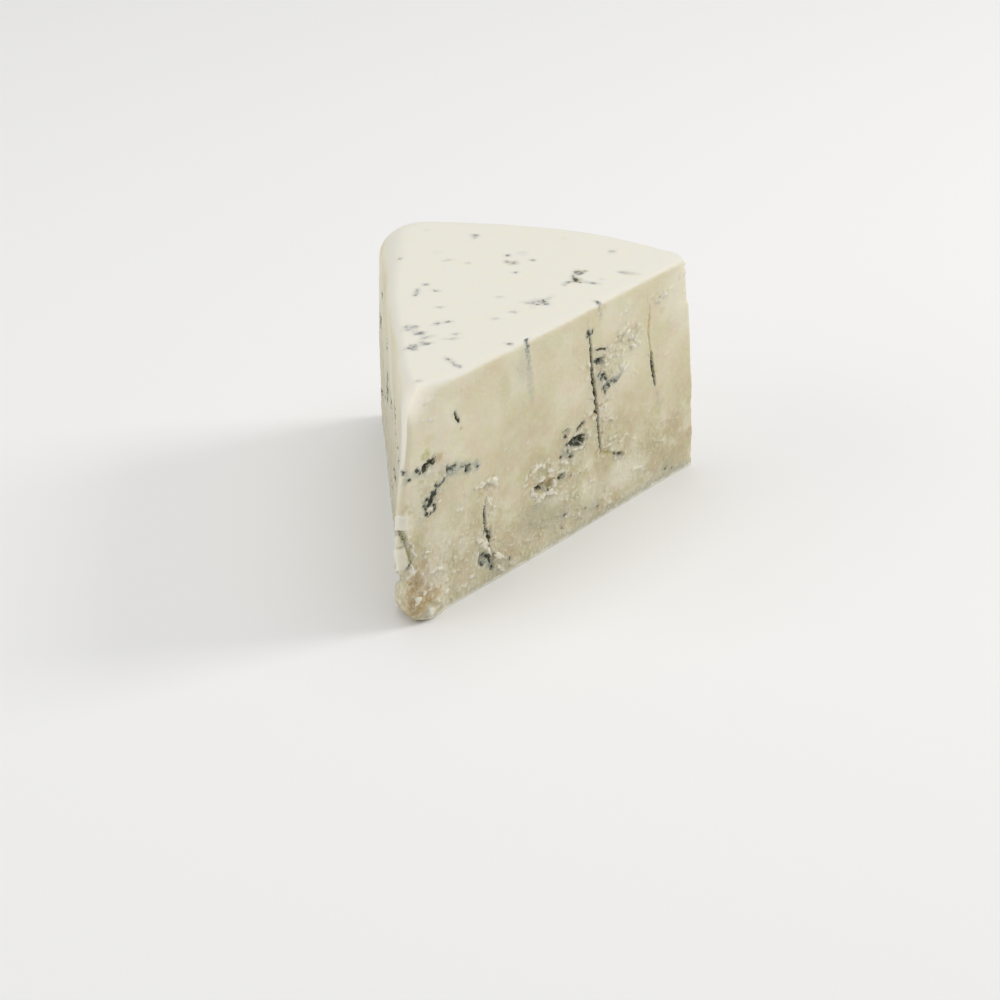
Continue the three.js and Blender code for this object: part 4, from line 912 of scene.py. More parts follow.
# The left face has the same kinds of channels, pits and veins, strewn from a seed
LEFT_SEED = 4107
LEFT_GRAIN_SEED = 53
LEFT_TORN = ((50.0, 4.5, 60.0, 6.5, 0, 0.6), (40.0, 10.0, 40.0, 10.0, 0, 0.4))
LEFT_CHANNELS = ((33.0, 47.0, 16.0), (52.0, 52.0, 22.0), (74.0, 46.0, 12.0))
LEFT_CHANNEL_WIDTH = 0.24
LEFT_CHANNEL_DEPTH = 1.6
LEFT_CHANNEL_MOULD = 0.4
LEFT_CHANNEL_CORNERS = 7
LEFT_LIPS = 44
LEFT_LIP_HEIGHTS = (0.08, 0.2)
LEFT_STREAK_DEPTH = 0.07
# Veins of the left face: place along it, height and half length
LEFT_VEINS = (
    (20, 33, 1.8), (30.4, 36.7, 3.6), (46.2, 31.2, 1.2), (62.1, 27.4, 4.4), (40, 17, 2.6), (58, 41, 1.0),
    (71, 19, 1.6), (84, 34, 3.0), (25, 12, 1.2), (87, 13, 2.0), (76, 44, 0.8), (49, 9, 0.8),
)
left_draw = np.random.default_rng(LEFT_SEED)
left_cracks = []
left_pits = []
left_mould = []
left_haze = []
left_moss = []
left_stain = []
left_curd = []
left_torn = list(LEFT_TORN)
left_lips = []
for place, top_end, foot in LEFT_CHANNELS:
    lean = left_draw.uniform(-0.04, 0.12)
    bends = np.linspace(top_end, foot, LEFT_CHANNEL_CORNERS)
    line = [(place + lean * (top_end - h) + left_draw.uniform(-0.25, 0.25), h) for h in bends]
    left_cracks.append((tuple(line), LEFT_CHANNEL_WIDTH, LEFT_CHANNEL_DEPTH, LEFT_CHANNEL_MOULD))
    left_stain.append((line[-2][0] + 0.5, line[-2][1], 0.6, 3.0, 4, 0.5))
for place, height, length in LEFT_VEINS:
    slant = left_draw.uniform(-65, 65)
    turn = math.radians(slant)
    for share in (-0.4, 0.45):
        a = place + share * length * math.cos(turn)
        h = height + share * length * math.sin(turn)
        half = left_draw.uniform(0.3, 0.5) * length + 0.3
        left_pits.append((a, h, half, half * 0.6, slant, left_draw.uniform(0.3, 0.9)))
    left_haze.append((place, height, length * 1.3 + 0.8, length * 0.5 + 0.6, slant, 0.55))
    left_torn.append((place, height, 6.0, 5.0, 0, 0.8))
    for _ in range(4 + round(4 * length)):
        run = left_draw.uniform(-1.1, 1.1) * length
        side = left_draw.normal(0, 0.3 + 0.1 * length)
        a = place + run * math.cos(turn) - side * math.sin(turn)
        h = height + run * math.sin(turn) + side * math.cos(turn)
        spot_slant = slant + left_draw.normal(0, 30)
        left_mould.append((a, h, left_draw.uniform(0.25, 0.9), left_draw.uniform(0.2, 0.5), spot_slant))
    for _ in range(3):
        turn_out = left_draw.uniform(0, 2 * math.pi)
        a = place + (0.9 * length + 0.8) * math.cos(turn_out)
        h = height + (0.5 * length + 0.8) * math.sin(turn_out)
        half_length = left_draw.uniform(0.5, 1.1)
        half_height = left_draw.uniform(0.2, 0.4)
        left_curd.append((a, h, half_length, half_height, left_draw.uniform(-40, 40)))
    left_moss.append((place + 1.0, height + 1.0, length, length * 0.7, 0, 0.3))
for _ in range(LEFT_LIPS):
    a = left_draw.uniform(12, 92)
    h = left_draw.uniform(4, 52)
    reach = left_draw.uniform(1.4, 3.6)
    tilt = math.radians(left_draw.uniform(-40, 25))
    end = (a + reach * math.cos(tilt), h + reach * math.sin(tilt))
    left_lips.append(((a, h), end, left_draw.uniform(*LEFT_LIP_HEIGHTS)))
left_relief, left_hollow, left_tints = cut_face(
    left_along, z, LEFT_GRAIN_SEED,
    left_cracks, left_pits, left_torn, left_lips,
    left_mould, left_haze, left_moss, left_stain, left_curd,
)
streaks = np.stack([left_along / 0.8, z / 9.0, np.full_like(z, 2.2)], axis=-1)
left_streak = mottle(streaks, 1.0, 71)
left_relief = left_relief + LEFT_STREAK_DEPTH * left_streak
tip_level = smoothstep(z, 26, 32) * (1 - smoothstep(z, 42, 48))
front_shade = 0.2 * (1 - smoothstep(left_along, 6, 22)) * tip_level
front_shade += 0.18 * (1 - smoothstep(z, 26, 44))
streak_shade = 0.6 * np.clip(left_streak - 0.1, 0, 1)
left_tints["haze"] = np.clip(left_tints["haze"] + 0.12 + front_shade + streak_shade, 0, 1)
left_tints["haze"] = left_tints["haze"] * (1 - smoothstep(facing[:, 2], 0.15, 0.55))

# Smooth wire-cut top, pressed rim and the flat, damp underside
SKIN_RAGGED = (0.4, 1.1)
SKIN_MOULD_SHRINK = 0.05
SKIN_MOULD_DEPTH = 0.14
SKIN_MOULD_EDGE = (-0.1, 0.4)
TOP_WAVES = ((0.05, 9.0, 81), (0.012, 1.6, 82))
RIM_WAVES = ((0.16, 7.0, 83), (0.07, 1.8, 84))
HOOP_MARKS = ((0.05, 9.0, 85),)
HOOP_STRETCH = np.array([1, 1, 5.0])
wild_x, wild_y = ragged(x, y, 31, *SKIN_RAGGED)
top_depth = patch_depth(wild_x, wild_y, TOP_MOULD)
nothing_there = np.zeros_like(x)
top_tints = {
    "mould": top_depth - SKIN_MOULD_SHRINK,
    "haze": patch_tint(wild_x, wild_y, TOP_HAZE),
    "moss": patch_tint(wild_x, wild_y, TOP_MOSS),
    "stain": nothing_there,
    "curd": nothing_there,
    "torn": nothing_there,
    "olive": patch_tint(wild_x, wild_y, TOP_OLIVE),
}
top_relief = waves(smooth_points, TOP_WAVES)
top_relief -= SKIN_MOULD_DEPTH * smoothstep(top_depth, *SKIN_MOULD_EDGE)
RIM_SEED = 515
RIM_FLECK_GROUPS = 13
RIM_SHADE = 0.4
rim_draw = np.random.default_rng(RIM_SEED)
around = WHEEL_RADIUS * np.arctan2(x, y)
rim_flecks = []
rim_shades = []
for _ in range(RIM_FLECK_GROUPS):
    a = rim_draw.uniform(-36, 36)
    h = rim_draw.uniform(6, 50)
    half_length = rim_draw.uniform(0.8, 2.4)
    half_height = rim_draw.uniform(0.7, 1.4)
    rim_shades.append((a, h, half_length, half_height, rim_draw.uniform(-40, 40), RIM_SHADE))
    for _ in range(rim_draw.integers(1, 6)):
        half = rim_draw.uniform(0.3, 0.8)
        slant = rim_draw.uniform(-60, 60)
        fleck_at = (a + rim_draw.normal(0, 1.3), h + rim_draw.normal(0, 0.8))
        rim_flecks.append((*fleck_at, half, half * 0.7, slant))
wild_around, wild_up = ragged(around, z, 33, *SKIN_RAGGED)
rim_depth = patch_depth(wild_around, wild_up, rim_flecks)
rim_tints = dict.fromkeys(top_tints, nothing_there)
rim_tints["mould"] = rim_depth - SKIN_MOULD_SHRINK
rim_tints["haze"] = patch_tint(wild_around, wild_up, rim_shades)
rim_relief = waves(smooth_points, RIM_WAVES) + waves(smooth_points * HOOP_STRETCH, HOOP_MARKS)
rim_relief -= SKIN_MOULD_DEPTH * smoothstep(rim_depth, *SKIN_MOULD_EDGE)

# The foot of each cut face shows the skin of the underside as a thin grey-green band
BAND_HEIGHT = 2.3
BAND_UNEVEN = 0.5
BAND_CURDS = 0.10
BAND_CURD_MEAN = 0.7
band_level = z + BAND_UNEVEN * mottle(smooth_points, 1.6, 91)
band = (1 - smoothstep(band_level, 0.6 * BAND_HEIGHT, BAND_HEIGHT + 0.5)) * (1 - on_bottom)

# The lower tip broke open when the wedge was handled
NOSE_LUMPS = 0.22
NOSE_CURDS = 0.16
FOOT_LUMPS = 0.20
FOOT_CURDS = 0.22
nose_broken = on_nose * (1 - smoothstep(z, 27, 33))
foot_broken = (1 - smoothstep(y, 9, 14)) * (1 - smoothstep(z, 11, 15)) * (1 - on_bottom)
nose_curds = NOSE_CURDS * (curd_bumps(smooth_points, 1.7, 94) - CURD_MEAN)
nose_relief = nose_broken * (NOSE_LUMPS * mottle(smooth_points, 3.0, 93) + nose_curds)
nose_relief += foot_broken * FOOT_CURDS * (curd_bumps(smooth_points, 1.6, 94) - CURD_MEAN)
nose_relief += foot_broken * FOOT_LUMPS * mottle(smooth_points, 1.4, 92)

standing = on_right * right_relief + on_left * left_relief + on_top * top_relief + on_rim * rim_relief
standing += nose_relief + band * BAND_CURDS * (curd_bumps(smooth_points, 1.0, 95) - BAND_CURD_MEAN)
plates = tip_plates * smoothstep(towards_view, -0.6, -0.2)
relief = standing + plates - on_right * right_hollow - on_left * left_hollow
relief *= smoothstep(z, 0.0, 0.5) * (1 - on_bottom)

# The sharp rear edge of the right face is worn and chipped, most at its top corner
REAR_WEAR = 0.3
REAR_WAVES = ((1.0, 5.0, 96), (0.8, 1.9, 97))
CORNER_CHIP = 0.9
CORNER_CHIP_REACH = 2.6
CORNER_CHIP_MIDDLE = ALONG_RIGHT * 97 + np.array([0, 0, WEDGE_HEIGHT])
near_rear_edge = smoothstep(np.hypot(x, y), 97, 99.5) * smoothstep(facing @ OUT_RIGHT, -0.3, 0.2)
worn = waves(smooth_points, REAR_WAVES)
relief += REAR_WEAR * near_rear_edge * worn * smoothstep(z, 0.5, 3)
corner_gap = np.linalg.norm(smooth_points - CORNER_CHIP_MIDDLE, axis=1)
relief -= CORNER_CHIP * np.exp(-((corner_gap / CORNER_CHIP_REACH) ** 2))
points = smooth_points + facing * relief[:, None]
points[:, 2] = np.maximum(points[:, 2], 0)
points[:column_count, 2] = 0

# Tints of all sides laid together, each one number for every point of the skin
side_tints = ((on_right, right_tints), (on_left, left_tints), (on_top, top_tints), (on_rim, rim_tints))
tints = {}
for name in right_tints:
    nothing = NO_MOULD if name == "mould" else 0.0
    total = np.full(len(points), nothing)
    for share, source in side_tints:
        total = np.maximum(total, nothing + smoothstep(share, 0.1, 0.6) * (source[name] - nothing))
    tints[name] = total
tints["olive"] = np.maximum(tints["olive"], on_right * patch_tint(seen_along, seen_height, RIGHT_OLIVE))
tints["torn"] = np.clip(tints["torn"] + np.maximum(nose_broken, foot_broken), 0, 1)
nose_front = on_nose * smoothstep(z, 32, 48) * (1 - smoothstep(facing @ OUT_RIGHT, 0.2, 1.0))
bevel = (1 - smoothstep(y, 5, 18)) * smoothstep(facing[:, 2], -0.05, 0.7)
tints["skin"] = np.clip(np.maximum(on_top, bevel) + on_rim + 0.9 * nose_front, 0, 1)
tints["band"] = np.clip(band, 0, 1) * (0.45 + 0.55 * smoothstep(np.hypot(x, y), 40, 75))
# A painted highlight along the very foot of each side, laid into the curd tint
foot_level = z + 0.3 * mottle(smooth_points, 1.2, 98)
painted_foot_highlight = (1 - smoothstep(foot_level, 0.35, 0.75)) * (1 - on_bottom) * (1 - on_rim)
specks = band * smoothstep(mottle(smooth_points, 0.9, 99), 0.3, 0.5)
tints["curd"] = np.clip(np.maximum(tints["curd"], np.maximum(0.95 * painted_foot_highlight, 0.6 * specks)), 0, 1)
# A painted highlight along the rear edge of the right face, laid into the curd tint
tints["curd"] = np.maximum(tints["curd"], 0.5 * smoothstep(np.hypot(x, y), 99.0, 99.8) * on_right)
tints["rind"] = np.clip(on_rim + on_bottom, 0, 1)
centre = on_right * smoothstep(right_along, 26, 40) * (1 - smoothstep(right_along, 66, 80))
tints["low"] = (1 - smoothstep(z, 6, 42 + 4 * centre)) * (1 - on_rim) * (0.9 + 0.25 * centre)
tints["warm"] = on_right * patch_tint(seen_along, seen_height, RIGHT_WARM)
tints["pale"] = on_right * (1 - on_top) * patch_tint(seen_along, seen_height, RIGHT_PALE)
tints["dull"] = on_right * (1 - on_top) * patch_tint(seen_along, seen_height, RIGHT_DULL)
# A painted highlight on the rounded front of the tip, lighter than its skin, most where it faces up
tints["nose"] = np.clip(np.maximum(bevel * (1 - smoothstep(y, 4, 12)), 0.6 * nose_front), 0, 1)
halo = smoothstep(tints["mould"], -0.9, 0.1)
tints["haze"] = np.clip(tints["haze"] + 0.4 * halo * (1 - tints["haze"]), 0, 1)

# Painted highlight where the relief stands out and painted shade where it lies deep: each point's relief
# against the average round it
RIDGE_REACH = 3
RIDGE_SCALE = 0.18
ring_relief = standing[:ring_total].reshape(row_count, column_count)
padded = np.pad(ring_relief, ((RIDGE_REACH, RIDGE_REACH), (0, 0)), mode="edge")
spread = range(-RIDGE_REACH, RIDGE_REACH + 1)
along_average = sum(np.roll(padded, shift, axis=1) for shift in spread) / len(spread)
rows_near = [along_average[RIDGE_REACH + shift :][:row_count] for shift in spread]
average = sum(rows_near) / len(spread)
stands_out = np.zeros(len(points))
stands_out[:ring_total] = np.clip((ring_relief - average) / RIDGE_SCALE, -1, 1).ravel()
tints["cavity_shade_and_highlight"] = stands_out * (1 - on_top) * (1 - on_rim)

# Grain of the knife for the finish: along the stroke, across it and through the cheese
run_right = right_along * math.cos(STROKE_FALL) - z * math.sin(STROKE_FALL)
side_right = z * math.cos(STROKE_FALL) + right_along * math.sin(STROKE_FALL)
drag_right = np.stack([run_right, side_right, smooth_points @ OUT_RIGHT], axis=1)
drag_left = np.stack([z, left_along, smooth_points @ OUT_LEFT], axis=1)
on_left_side = (on_left > on_right)[:, None]
stroke = np.where(on_left_side, drag_left, drag_right)

# Faces between the columns, and those of the two flat ends
faces = []
coarse_numbers = row_numbers[coarse_row]
for column in range(column_count):
    after = (column + 1) % column_count
    both_fine = fine_column[column] and fine_column[after]
    used_rows = row_numbers if both_fine else coarse_numbers
    for lower, upper in zip(used_rows[:-1], used_rows[1:]):
        between = range(lower + 1, upper)
        corner_rows = [(lower, column), (lower, after)]
        corner_rows += [(row, after) for row in between] if fine_column[after] else []
        corner_rows += [(upper, after), (upper, column)]
        corner_rows += [(row, column) for row in reversed(between)] if fine_column[column] else []
        faces.append(tuple(int(row) * column_count + at for row, at in corner_rows))
top_ring = (row_count - 1) * column_count


def end_index(corner, ring_start, strewn_start):
    """Number of a flat end's corner among all points: its ring comes first, then those inside."""
    if corner < column_count:
        return ring_start + corner
    return strewn_start + corner - column_count


for face in top_faces:
    faces.append(tuple(end_index(corner, top_ring, ring_total) for corner in face))
for face in bottom_faces:
    faces.append(tuple(end_index(corner, 0, ring_total + len(top_points)) for corner in reversed(face)))

used = np.full(len(points), True)
used[:ring_total] = (fine_column[None, :] | coarse_row[:, None]).ravel()
new_number = np.cumsum(used) - 1
faces = [tuple(int(new_number[corner]) for corner in face) for face in faces]
wedge_mesh = bpy.data.meshes.new("cheese_wedge_paste")
wedge_mesh.from_pydata(((points[used] + WHEEL_AXIS) * MM).tolist(), [], faces)
wedge_mesh.update()
wedge_mesh.shade_smooth()
for name, values in tints.items():
    layer = wedge_mesh.attributes.new(name, "FLOAT", "POINT")
    layer.data.foreach_set("value", values[used].astype(np.float32))
layer = wedge_mesh.attributes.new("stroke", "FLOAT_VECTOR", "POINT")
layer.data.foreach_set("vector", stroke[used].astype(np.float32).ravel())

# Map for a baked finish: one flat piece for each side, all to one scale but the hidden underside's
MAP_SIDE = 178.0
MAP_GAP = 2.0
MAP_LEFT_UP = 60.5
MAP_RIM_UP = 119.0
MAP_TOP_ACROSS = 103.0
MAP_BOTTOM_UP = 105.0
MAP_BOTTOM_SCALE = 0.5
sector_width = WHEEL_RADIUS * math.sin(2 * CUT_HALF_ANGLE)
across_right = -(smooth_points @ OUT_RIGHT)
around_rim = WHEEL_RADIUS * (CUT_HALF_ANGLE - np.arctan2(x, y))
map_places = np.stack(
    [
        np.stack([right_along, z], axis=1) + (MAP_GAP, MAP_GAP),
        np.stack([WHEEL_RADIUS - left_along, z], axis=1) + (MAP_GAP, MAP_LEFT_UP),
        np.stack([around_rim, z], axis=1) + (MAP_GAP, MAP_RIM_UP),
        np.stack([sector_width - across_right, right_along], axis=1) + (MAP_TOP_ACROSS, MAP_GAP),
        MAP_BOTTOM_SCALE * np.stack([across_right, right_along], axis=1) + (MAP_TOP_ACROSS, MAP_BOTTOM_UP),
    ]
)
outward_share = (x * facing[:, 0] + y * facing[:, 1]) / np.maximum(np.hypot(x, y), 1)
sides_faced = np.stack(
    [facing @ OUT_RIGHT, facing @ OUT_LEFT, outward_share, facing[:, 2], -facing[:, 2]]
)
corner_count = len(wedge_mesh.loops)
loop_points = np.zeros(corner_count, np.int32)
wedge_mesh.loops.foreach_get("vertex_index", loop_points)
loop_faces = np.repeat(np.arange(len(faces)), [len(face) for face in faces])
face_sides = np.zeros((len(sides_faced), len(faces)))
for side, faced in enumerate(sides_faced):
    np.add.at(face_sides[side], loop_faces, faced[used][loop_points])
face_side = face_sides.argmax(axis=0)
map_layer = wedge_mesh.uv_layers.new(name="OFBake")
loop_places = map_places[:, used][face_side[loop_faces], loop_points] / MAP_SIDE
map_layer.data.foreach_set("uv", loop_places.astype(np.float32).ravel())
wedge = bpy.data.objects.new("cheese_wedge_paste", wedge_mesh)
bpy.context.scene.collection.objects.link(wedge)

# Colours of the cheese, linear: paste, washes over it, skin, curd, stains and mould, and the painted
# highlights and shade
PASTE_WARM = (0.735, 0.66, 0.45, 1)
PASTE_TAN = (0.55, 0.465, 0.275, 1)
PASTE_PALE = (0.82, 0.775, 0.60, 1)
PASTE_LIGHT = (0.88, 0.84, 0.68, 1)
PASTE_LOW = (0.61, 0.535, 0.345, 1)
TINGE_GREEN = (0.70, 0.675, 0.455, 1)
TINGE_PINK = (0.76, 0.655, 0.49, 1)
SHADE_GREEN = (0.955, 1.0, 0.92, 1)
SHADE_PINK = (1.0, 0.94, 0.95, 1)
SHADE_STRAW = (1.0, 0.98, 0.78, 1)
TOP_IVORY = (0.80, 0.78, 0.695, 1)
NOSE_HIGHLIGHT_IVORY = (0.97, 0.91, 0.775, 1)
BAND_GREY = (0.50, 0.50, 0.395, 1)
RIND_TAN = (0.74, 0.66, 0.47, 1)
TORN_AND_HOLLOW_SHADE_GREY = (0.60, 0.555, 0.40, 1)
CURD_AND_HIGHLIGHT_WHITE = (0.88, 0.855, 0.75, 1)
GAP_OLIVE = (0.46, 0.42, 0.25, 1)
DULL_GREEN = (0.52, 0.495, 0.365, 1)
MOSS_OLIVE = (0.50, 0.45, 0.15, 1)
STAIN_BROWN = (0.49, 0.325, 0.12, 1)
HAZE_BLUE = (0.30, 0.35, 0.33, 1)
HAZE_LILAC = (0.36, 0.36, 0.385, 1)
MOULD_DARK = (0.022, 0.030, 0.015, 1)
MOULD_GREEN = (0.135, 0.155, 0.095, 1)
MOULD_BLUE = (0.10, 0.115, 0.115, 1)
MOULD_OLIVE = (0.058, 0.051, 0.014, 1)
PASTE_SHEEN = 0.38
GLOW_SHARE = 0.25
GLOW_REACH = (1.0, 0.75, 0.42)
GLOW_DEPTH = 0.0007
GRAIN_STRENGTH = 0.5
GRAIN_DEPTH = 0.22


class Finish:
    """A node material put together step by step."""

    def __init__(self, name):
        self.material = bpy.data.materials.new(name)
        self.material.use_nodes = True
        self.tree = self.material.node_tree
        self.shader = self.tree.nodes["Principled BSDF"]
        place = self.tree.nodes.new("ShaderNodeTexCoord").outputs["Object"]
        scale = self.tree.nodes.new("ShaderNodeVectorMath")
        scale.operation = "SCALE"
        scale.inputs["Scale"].default_value = 1 / MM
        self.tree.links.new(place, scale.inputs[0])
        self.place = scale.outputs[0]

    def put(self, socket, value):
        """Feed a socket from another node or with a plain value."""
        if isinstance(value, bpy.types.NodeSocket):
            self.tree.links.new(value, socket)
        else:
            socket.default_value = value

    def layer(self, name, output="Fac"):
        """A tint that the mesh carries at its points."""
        node = self.tree.nodes.new("ShaderNodeAttribute")
        node.attribute_name = name
        return node.outputs[output]

    def stretched(self, vector, scale):
        node = self.tree.nodes.new("ShaderNodeVectorMath")
        node.operation = "MULTIPLY"
        self.put(node.inputs[0], vector)
        node.inputs[1].default_value = scale
        return node.outputs[0]

    def grain(self, size, detail=2.0, vector=None, rough=0.5):
        """Cloudy noise of about `size` mm."""
        node = self.tree.nodes.new("ShaderNodeTexNoise")
        node.inputs["Scale"].default_value = 1 / size
        node.inputs["Detail"].default_value = detail
        node.inputs["Roughness"].default_value = rough
        self.put(node.inputs["Vector"], self.place if vector is None else vector)
        return node.outputs["Fac"]

    def crumbs(self, size, vector=None):
        """Cells of about `size` mm, darkest at their middles."""
        node = self.tree.nodes.new("ShaderNodeTexVoronoi")
        node.inputs["Scale"].default_value = 1 / size
        self.put(node.inputs["Vector"], self.place if vector is None else vector)
        return node.outputs["Distance"]

    def warped(self, size, reach):
        """Places pushed about by up to `reach` mm."""
        noise = self.tree.nodes.new("ShaderNodeTexNoise")
        noise.inputs["Scale"].default_value = 1 / size
        self.put(noise.inputs["Vector"], self.place)
        node = self.tree.nodes.new("ShaderNodeVectorMath")
        node.operation = "MULTIPLY_ADD"
        self.put(node.inputs[0], noise.outputs["Color"])
        node.inputs[1].default_value = (reach, reach, reach)
        self.put(node.inputs[2], self.place)
        return node.outputs[0]

    def worked(self, operation, a, b, c=None):
        """Plain arithmetic of two or three values."""
        node = self.tree.nodes.new("ShaderNodeMath")
        node.operation = operation
        self.put(node.inputs[0], a)
        self.put(node.inputs[1], b)
        if c is not None:
            self.put(node.inputs[2], c)
        return node.outputs[0]

    def product(self, a, b):
        return self.worked("MULTIPLY", a, b)

    def between(self, value, low, high, start=0.0, end=1.0):
        """A soft step from `start` to `end` while the value goes from `low` to `high`."""
        node = self.tree.nodes.new("ShaderNodeMapRange")
        node.interpolation_type = "SMOOTHSTEP"
        self.put(node.inputs["Value"], value)
        node.inputs["From Min"].default_value = low
        node.inputs["From Max"].default_value = high
        node.inputs["To Min"].default_value = start
        node.inputs["To Max"].default_value = end
        return node.outputs["Result"]

    def blend(self, share, a, b, way="MIX"):
        node = self.tree.nodes.new("ShaderNodeMix")
        node.data_type = "RGBA"
        node.blend_type = way
        self.put(node.inputs["Factor"], share)
        self.put(node.inputs["A"], a)
        self.put(node.inputs["B"], b)
        return node.outputs["Result"]

    def washed(self, share, colour, wash):
        return self.blend(share, colour, wash, "MULTIPLY")

    def bumped(self, height, strength, depth):
        node = self.tree.nodes.new("ShaderNodeBump")
        node.inputs["Strength"].default_value = strength
        node.inputs["Distance"].default_value = depth * MM
        self.put(node.inputs["Height"], height)
        self.put(self.shader.inputs["Normal"], node.outputs["Normal"])

    def set(self, **sockets):
        for name, value in sockets.items():
            self.put(self.shader.inputs[name.replace("_", " ")], value)


# Paste of the wedge: ivory ground, its stains and skin, then mould over all
paste = Finish("veined cheese")
stroke_place = paste.layer("stroke", "Vector")
broad = paste.grain(14.0, 2.0)
middling = paste.grain(2.4, 3.0)
small = paste.grain(0.55, 3.0, rough=0.6)
dust = paste.grain(0.22, 2.0)
streak = paste.grain(1.0, 3.0, paste.stretched(stroke_place, (0.4, 1.5, 0.6)), 0.55)
cloud = paste.grain(6.5, 3.0, paste.stretched(paste.place, (1.0, 1.0, 1.3)))
blotch = paste.grain(5.0, 2.0, rough=0.45)
speckle = paste.grain(1.15, 3.0, rough=0.6)
patchy = paste.grain(4.6, 2.5, paste.warped(2.2, 1.4), 0.5)
flakes = paste.crumbs(1.5, paste.warped(1.2, 0.9))
hoop_marks = paste.grain(3.4, 4.0, paste.stretched(paste.place, (0.35, 0.35, 1.5)), 0.6)
# Tints that several steps use
torn = paste.layer("torn")
skin = paste.layer("skin")
cavity_shade_and_highlight = paste.layer("cavity_shade_and_highlight")
low = paste.layer("low")
olive = paste.layer("olive")
# Ground, darker and more uneven low down
colour = paste.blend(paste.between(broad, 0.35, 0.65), PASTE_WARM, PASTE_PALE)
colour = paste.blend(paste.between(cloud, 0.5, 0.68, 0.0, 0.45), colour, TINGE_GREEN)
colour = paste.blend(paste.between(cloud, 0.34, 0.5, 0.4, 0.0), colour, TINGE_PINK)
colour = paste.blend(paste.between(streak, 0.46, 0.68, 0.0, 0.25), colour, PASTE_PALE)
low_share = paste.product(low, paste.between(broad, 0.3, 0.7, 1.0, 0.6))
colour = paste.blend(low_share, colour, PASTE_LOW)
warm = paste.product(paste.layer("warm"), paste.between(middling, 0.3, 0.7, 1.0, 0.5))
colour = paste.blend(warm, colour, PASTE_TAN)
hue_share = paste.between(low, 0.0, 1.0, 0.45, 0.8)
green_share = paste.product(hue_share, paste.between(blotch, 0.50, 0.64))
pink_share = paste.product(hue_share, paste.between(blotch, 0.36, 0.50, 1.0, 0.0))
straw_share = paste.product(hue_share, paste.between(speckle, 0.50, 0.66))
colour = paste.washed(green_share, colour, SHADE_GREEN)
colour = paste.washed(pink_share, colour, SHADE_PINK)
colour = paste.washed(straw_share, colour, SHADE_STRAW)
uneven = paste.between(low, 0.1, 0.9, 0.0, 1.0)
pale_patches = paste.product(uneven, paste.between(patchy, 0.36, 0.49, 0.6, 0.0))
tan_patches = paste.product(uneven, paste.between(patchy, 0.52, 0.65, 0.0, 0.6))
colour = paste.blend(pale_patches, colour, PASTE_PALE)
colour = paste.blend(tan_patches, colour, PASTE_TAN)
# Crumb of the torn ground, then a painted highlight where it stands out and painted shade where it lies
# deep
crumbly = paste.product(torn, paste.between(middling, 0.35, 0.65, 0.4, 1.0))
gaps = paste.product(crumbly, paste.between(speckle, 0.58, 0.70, 0.0, 0.4))
grains = paste.product(crumbly, paste.between(speckle, 0.30, 0.41, 0.6, 0.0))
colour = paste.blend(gaps, colour, GAP_OLIVE)
colour = paste.blend(grains, colour, CURD_AND_HIGHLIGHT_WHITE)
colour = paste.blend(paste.between(flakes, 0.15, 0.62, 0.2, 0.0), colour, PASTE_PALE)
grey_share = paste.product(paste.between(middling, 0.42, 0.7), paste.product(torn, 0.45))
colour = paste.blend(grey_share, colour, TORN_AND_HOLLOW_SHADE_GREY)
white_share = paste.product(paste.between(small, 0.60, 0.70), paste.product(torn, 0.6))
colour = paste.blend(white_share, colour, CURD_AND_HIGHLIGHT_WHITE)
# Painted shade in the hollows of the relief and painted highlight on its ridges
colour = paste.blend(paste.between(cavity_shade_and_highlight, -0.9, -0.05, 0.55, 0.0), colour, TORN_AND_HOLLOW_SHADE_GREY)
colour = paste.blend(paste.between(cavity_shade_and_highlight, 0.1, 0.9, 0.0, 0.65), colour, CURD_AND_HIGHLIGHT_WHITE)
colour = paste.blend(paste.layer("dull"), colour, DULL_GREEN)
colour = paste.blend(paste.layer("pale"), colour, PASTE_LIGHT)
# Skin of the top and the tip, a painted highlight on the tip's rounded front, rind and the band at the foot
skin_colour = paste.blend(paste.between(middling, 0.4, 0.7, 0.0, 0.25), TOP_IVORY, PASTE_PALE)
colour = paste.blend(skin, colour, skin_colour)
colour = paste.blend(paste.layer("nose"), colour, NOSE_HIGHLIGHT_IVORY)
rind_share = paste.product(paste.layer("rind"), paste.between(hoop_marks, 0.3, 0.72, 0.3, 0.8))
colour = paste.blend(rind_share, colour, RIND_TAN)
band_share = paste.product(paste.layer("band"), paste.between(small, 0.36, 0.6, 1.0, 0.45))
colour = paste.blend(band_share, colour, BAND_GREY)
# Stains, haze round the veins, and white curd with the painted highlights laid into its tint
moss = paste.product(paste.layer("moss"), paste.between(small, 0.3, 0.62, 0.35, 1.0))
colour = paste.blend(moss, colour, MOSS_OLIVE)
stain = paste.product(paste.layer("stain"), paste.between(speckle, 0.36, 0.6, 0.4, 1.2))
colour = paste.blend(stain, colour, STAIN_BROWN)
haze = paste.product(paste.layer("haze"), paste.between(small, 0.32, 0.66, 1.0, 0.3))
colour = paste.blend(haze, colour, paste.blend(skin, HAZE_BLUE, HAZE_LILAC))
colour = paste.blend(paste.between(haze, 0.5, 1.0, 0.0, 0.75), colour, MOULD_BLUE)
colour = paste.blend(paste.layer("curd"), colour, CURD_AND_HIGHLIGHT_WHITE)
